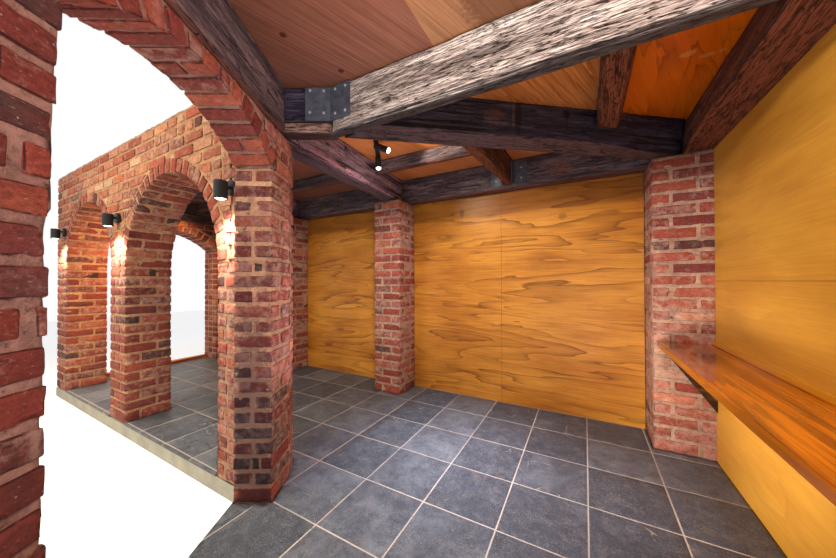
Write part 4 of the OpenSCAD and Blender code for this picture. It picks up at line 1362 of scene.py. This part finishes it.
def cleats():
    """Each is an L in plan with a rounded fold, drawn up in steps with its corners cut"""
    verts, faces, heads = [], [], []
    z0, z1 = CLEAT_Z
    levels = (z0, z0 + 0.002, (z0 + z1) / 2, z1 - 0.002, z1)
    for line, side in CLEATS:
        leaf, fold, flange = (np.array(p) for p in line)
        line = [leaf, fold + (leaf - fold) * 0.06, fold, fold + (flange - fold) * 0.06, flange]
        out, front = ((end - fold) / np.linalg.norm(end - fold) for end in (flange, leaf))
        outer = [p + d * CLEAT_T for p, d in zip(line, (out, out, out + front, front, front))]
        outer[2] = outer[2] - (out + front) * 0.0015
        loop = line + outer[::-1]
        count, start = len(loop), len(verts)
        verts += [(*p, z) for z in levels for p in loop]
        rows = len(levels) - 1
        quads = list(tube(start, rows, count))
        for a, way in ((start, 1), (start + rows * count, -1)):
            for n in range(len(line) - 1):
                quads.append((a + n, a + n + 1, a + count - 2 - n, a + count - 1 - n)[::way])
        faces += [quad[::-side] for quad in quads]
        middle = fold + (flange - fold) * 0.62
        for z in (z0 + 0.05, z1 - 0.05):
            heads.append(((middle[0], middle[1] - CLEAT_T, z), (0, -1, 0)))
    new_piece("joist_cleats", verts, faces, "black_steel", STEEL, soft_shade=False)
    discs("cleat_bolts", heads, 0.008, 0.005, "black_steel", BOLT_STEEL)


def small_parts():
    cleats()
    heads = [(near_pt(PLATE_FRONT, v, z), NEAR_U) for v, z in BLOCK_BOLTS]
    heads += [((x, CROSS_FRONT - PLATE_T, z), (0, -1, 0)) for x, z in BEAM_BOLTS]
    discs("plate_bolts", heads, 0.009, 0.006, "black_steel", BOLT_STEEL)
    lamps = [((x, -0.072, LAMP_UNDER + 0.010), (0, 0, -1)) for x in LAMP_PLACES]
    discs("wall_lamp_lenses", lamps, 0.033, 0.014, "lamp_glow", GLOW)
    spots = [(face, np.subtract(face, pivot)) for pivot, face in SPOT_FACES]
    discs("spot_lenses", spots, 0.023, 0.018, "lamp_glow", GLOW)


# Camera, floor and light

CAMERA = (1.800, -1.087, 1.241)
HEADING = 0.5042
PITCH = 0.0079
ROLL = -0.0029
SENSOR = 36.0
FOCAL_PX = 302.14
PHOTO_W = 836
FLOOR_SIDE = 14.0
FLOOR_Z = -0.002
WHITE = (255, 255, 255)


def make_camera():
    data = bpy.data.cameras.new("camera")
    data.sensor_width = SENSOR
    data.lens = SENSOR * FOCAL_PX / PHOTO_W
    data.clip_start = 0.02
    camera = add_object("camera", data)
    turn = Matrix.Rotation(HEADING, 4, "Z") @ Matrix.Rotation(math.pi / 2 + PITCH, 4, "X")
    camera.matrix_world = Matrix.Translation(PLAN + CAMERA) @ turn @ Matrix.Rotation(ROLL, 4, "Z")
    bpy.context.scene.camera = camera


def make_stage():
    data = bpy.data.meshes.new("studio_floor")
    corners = ((-1, -1), (1, -1), (1, 1), (-1, 1))
    data.from_pydata([(x * FLOOR_SIDE, y * FLOOR_SIDE, FLOOR_Z) for x, y in corners], [], [(0, 1, 2, 3)])
    floor = add_object("studio_floor", data)
    f = Finish("studio_floor", Roughness=0.9, Emission_Color=WHITE)
    seen = f.node("ShaderNodeLightPath", {}, "Is Camera Ray")
    f.set(Base_Color=f.noise(0.5, 2).ramp((0.3, (226, 228, 232)), (0.7, (232, 234, 238))),
          Emission_Strength=seen * 0.45)
    data.materials.append(f.material)


def make_world():
    """White where it is seen, by itself or in gloss and glass, and half as bright as a light"""
    world = bpy.data.worlds.new("studio")
    bpy.context.scene.world = world
    world.use_nodes = True
    camera = add_node(world.node_tree, "ShaderNodeLightPath", {}, "Is Camera Ray")
    seen = camera.math("MAXIMUM", camera.beside("Is Glossy Ray"))
    seen = seen.math("MAXIMUM", camera.beside("Is Transmission Ray"))
    level = seen.node("ShaderNodeMapRange", {"Value": seen, "To Min": 0.5, "To Max": 1.0})
    fill(world.node_tree.nodes["Background"], {"Color": WHITE, "Strength": level})


def add_light(name, kind, place, toward, power, colour, **settings):
    data = bpy.data.lights.new(name, kind)
    data.energy = power
    data.color = colour
    for key, value in settings.items():
        setattr(data, key, value)
    light = add_object(name, data)
    light.location = PLAN + place
    light.rotation_euler = Vector(np.subtract(toward, place)).to_track_quat("-Z", "Y").to_euler()
    return light


def area_light(name, place, toward, size, power, colour=(1, 1, 1), spread=180):
    light = add_light(name, "AREA", place, toward, power, colour, shape="RECTANGLE", size=size[0],
                      size_y=size[1], spread=math.radians(spread))
    light.visible_camera = light.visible_glossy = False


def lamp_light(name, place, toward, power, angle):
    """The warm cone of a lamp"""
    add_light(name, "SPOT", place, toward, power, (1, 0.86, 0.66), spot_size=math.radians(angle),
              spot_blend=0.7, shadow_soft_size=0.02)


def make_lights():
    warm, orange, peach, cool = (1, 0.90, 0.80), (1, 0.56, 0.22), (1, 0.89, 0.51), (0.88, 0.93, 1)
    area_light("near_spots", (1.95, -0.95, 2.32), (1.6, 1.6, 1.0), (0.08, 0.08), 34, warm)
    area_light("open_end", (2.2, -2.3, 1.3), (1.4, 0.2, 2.1), (1.6, 1.2), 9)
    area_light("room", (-1.6, -2.2, 2.4), (-1.4, 0.3, 1.2), (3.0, 1.6), 92, peach)
    area_light("pier_side", (1.00, 0.80, 1.60), (0.20, 0.15, 1.10), (0.3, 0.3), 0.45, warm, 60)
    area_light("pool", (1.02, 0.76, 2.12), (1.00, 0.84, 0), (0.3, 0.3), 10.5, cool, 62)
    area_light("aisle_right", (1.1, 1.25, 2.12), (1.1, 1.2, 0), (1.0, 0.8), 6)
    area_light("ceiling_pool", (1.08, -0.05, 1.10), (1.08, 0.06, 2.44), (0.2, 0.2), 0.62, warm, 56)
    area_light("spot_spill", (0.22, 1.02, 2.05), (0.10, 1.10, 2.40), (0.15, 0.15), 0.7, warm)
    area_light("aisle_left", (-1.6, 1.1, 2.12), (-1.6, 1.1, 0), (1.6, 0.7), 2.5, warm)
    area_light("low_right", (1.60, 0.35, 0.36), (2.60, 1.40, 0.52), (0.3, 0.3), 5.5, warm, 84)
    area_light("far_aisle", (-2.7, 1.0, 1.9), (-3.4, 0.2, 1.0), (0.5, 0.3), 32, orange)
    area_light("near_up", (1.7, -0.3, 0.45), (1.5, 0.6, 2.4), (1.2, 1.2), 15)
    area_light("up_fill", (0.4, 0.7, 0.5), (0.3, 1.0, 2.4), (0.6, 0.6), 7, (0.80, 0.86, 1))
    for n, x in enumerate(LAMP_PLACES):
        lamp_light(f"lamp_{n}", (x, -0.150, LAMP_UNDER - 0.012), (x, -0.050, 1.20), 52, 120)
    for n, (pivot, face) in enumerate(SPOT_FACES):
        aim = np.subtract(face, pivot)
        place = face + aim * 0.5
        lamp_light(f"spot_{n}", place, place + aim, 24, 130)


bpy.context.scene.view_settings.view_transform = "Standard"
make_camera()
make_stage()
make_world()
make_lights()
dress_nodes()
near_arcade_bricks()
corner_pier_bricks()
long_arcade_bricks()
end_wall_bricks()
back_pier_bricks()
outer_wall_bricks()
mortar_cores()
timbers()
slates()
small_parts()
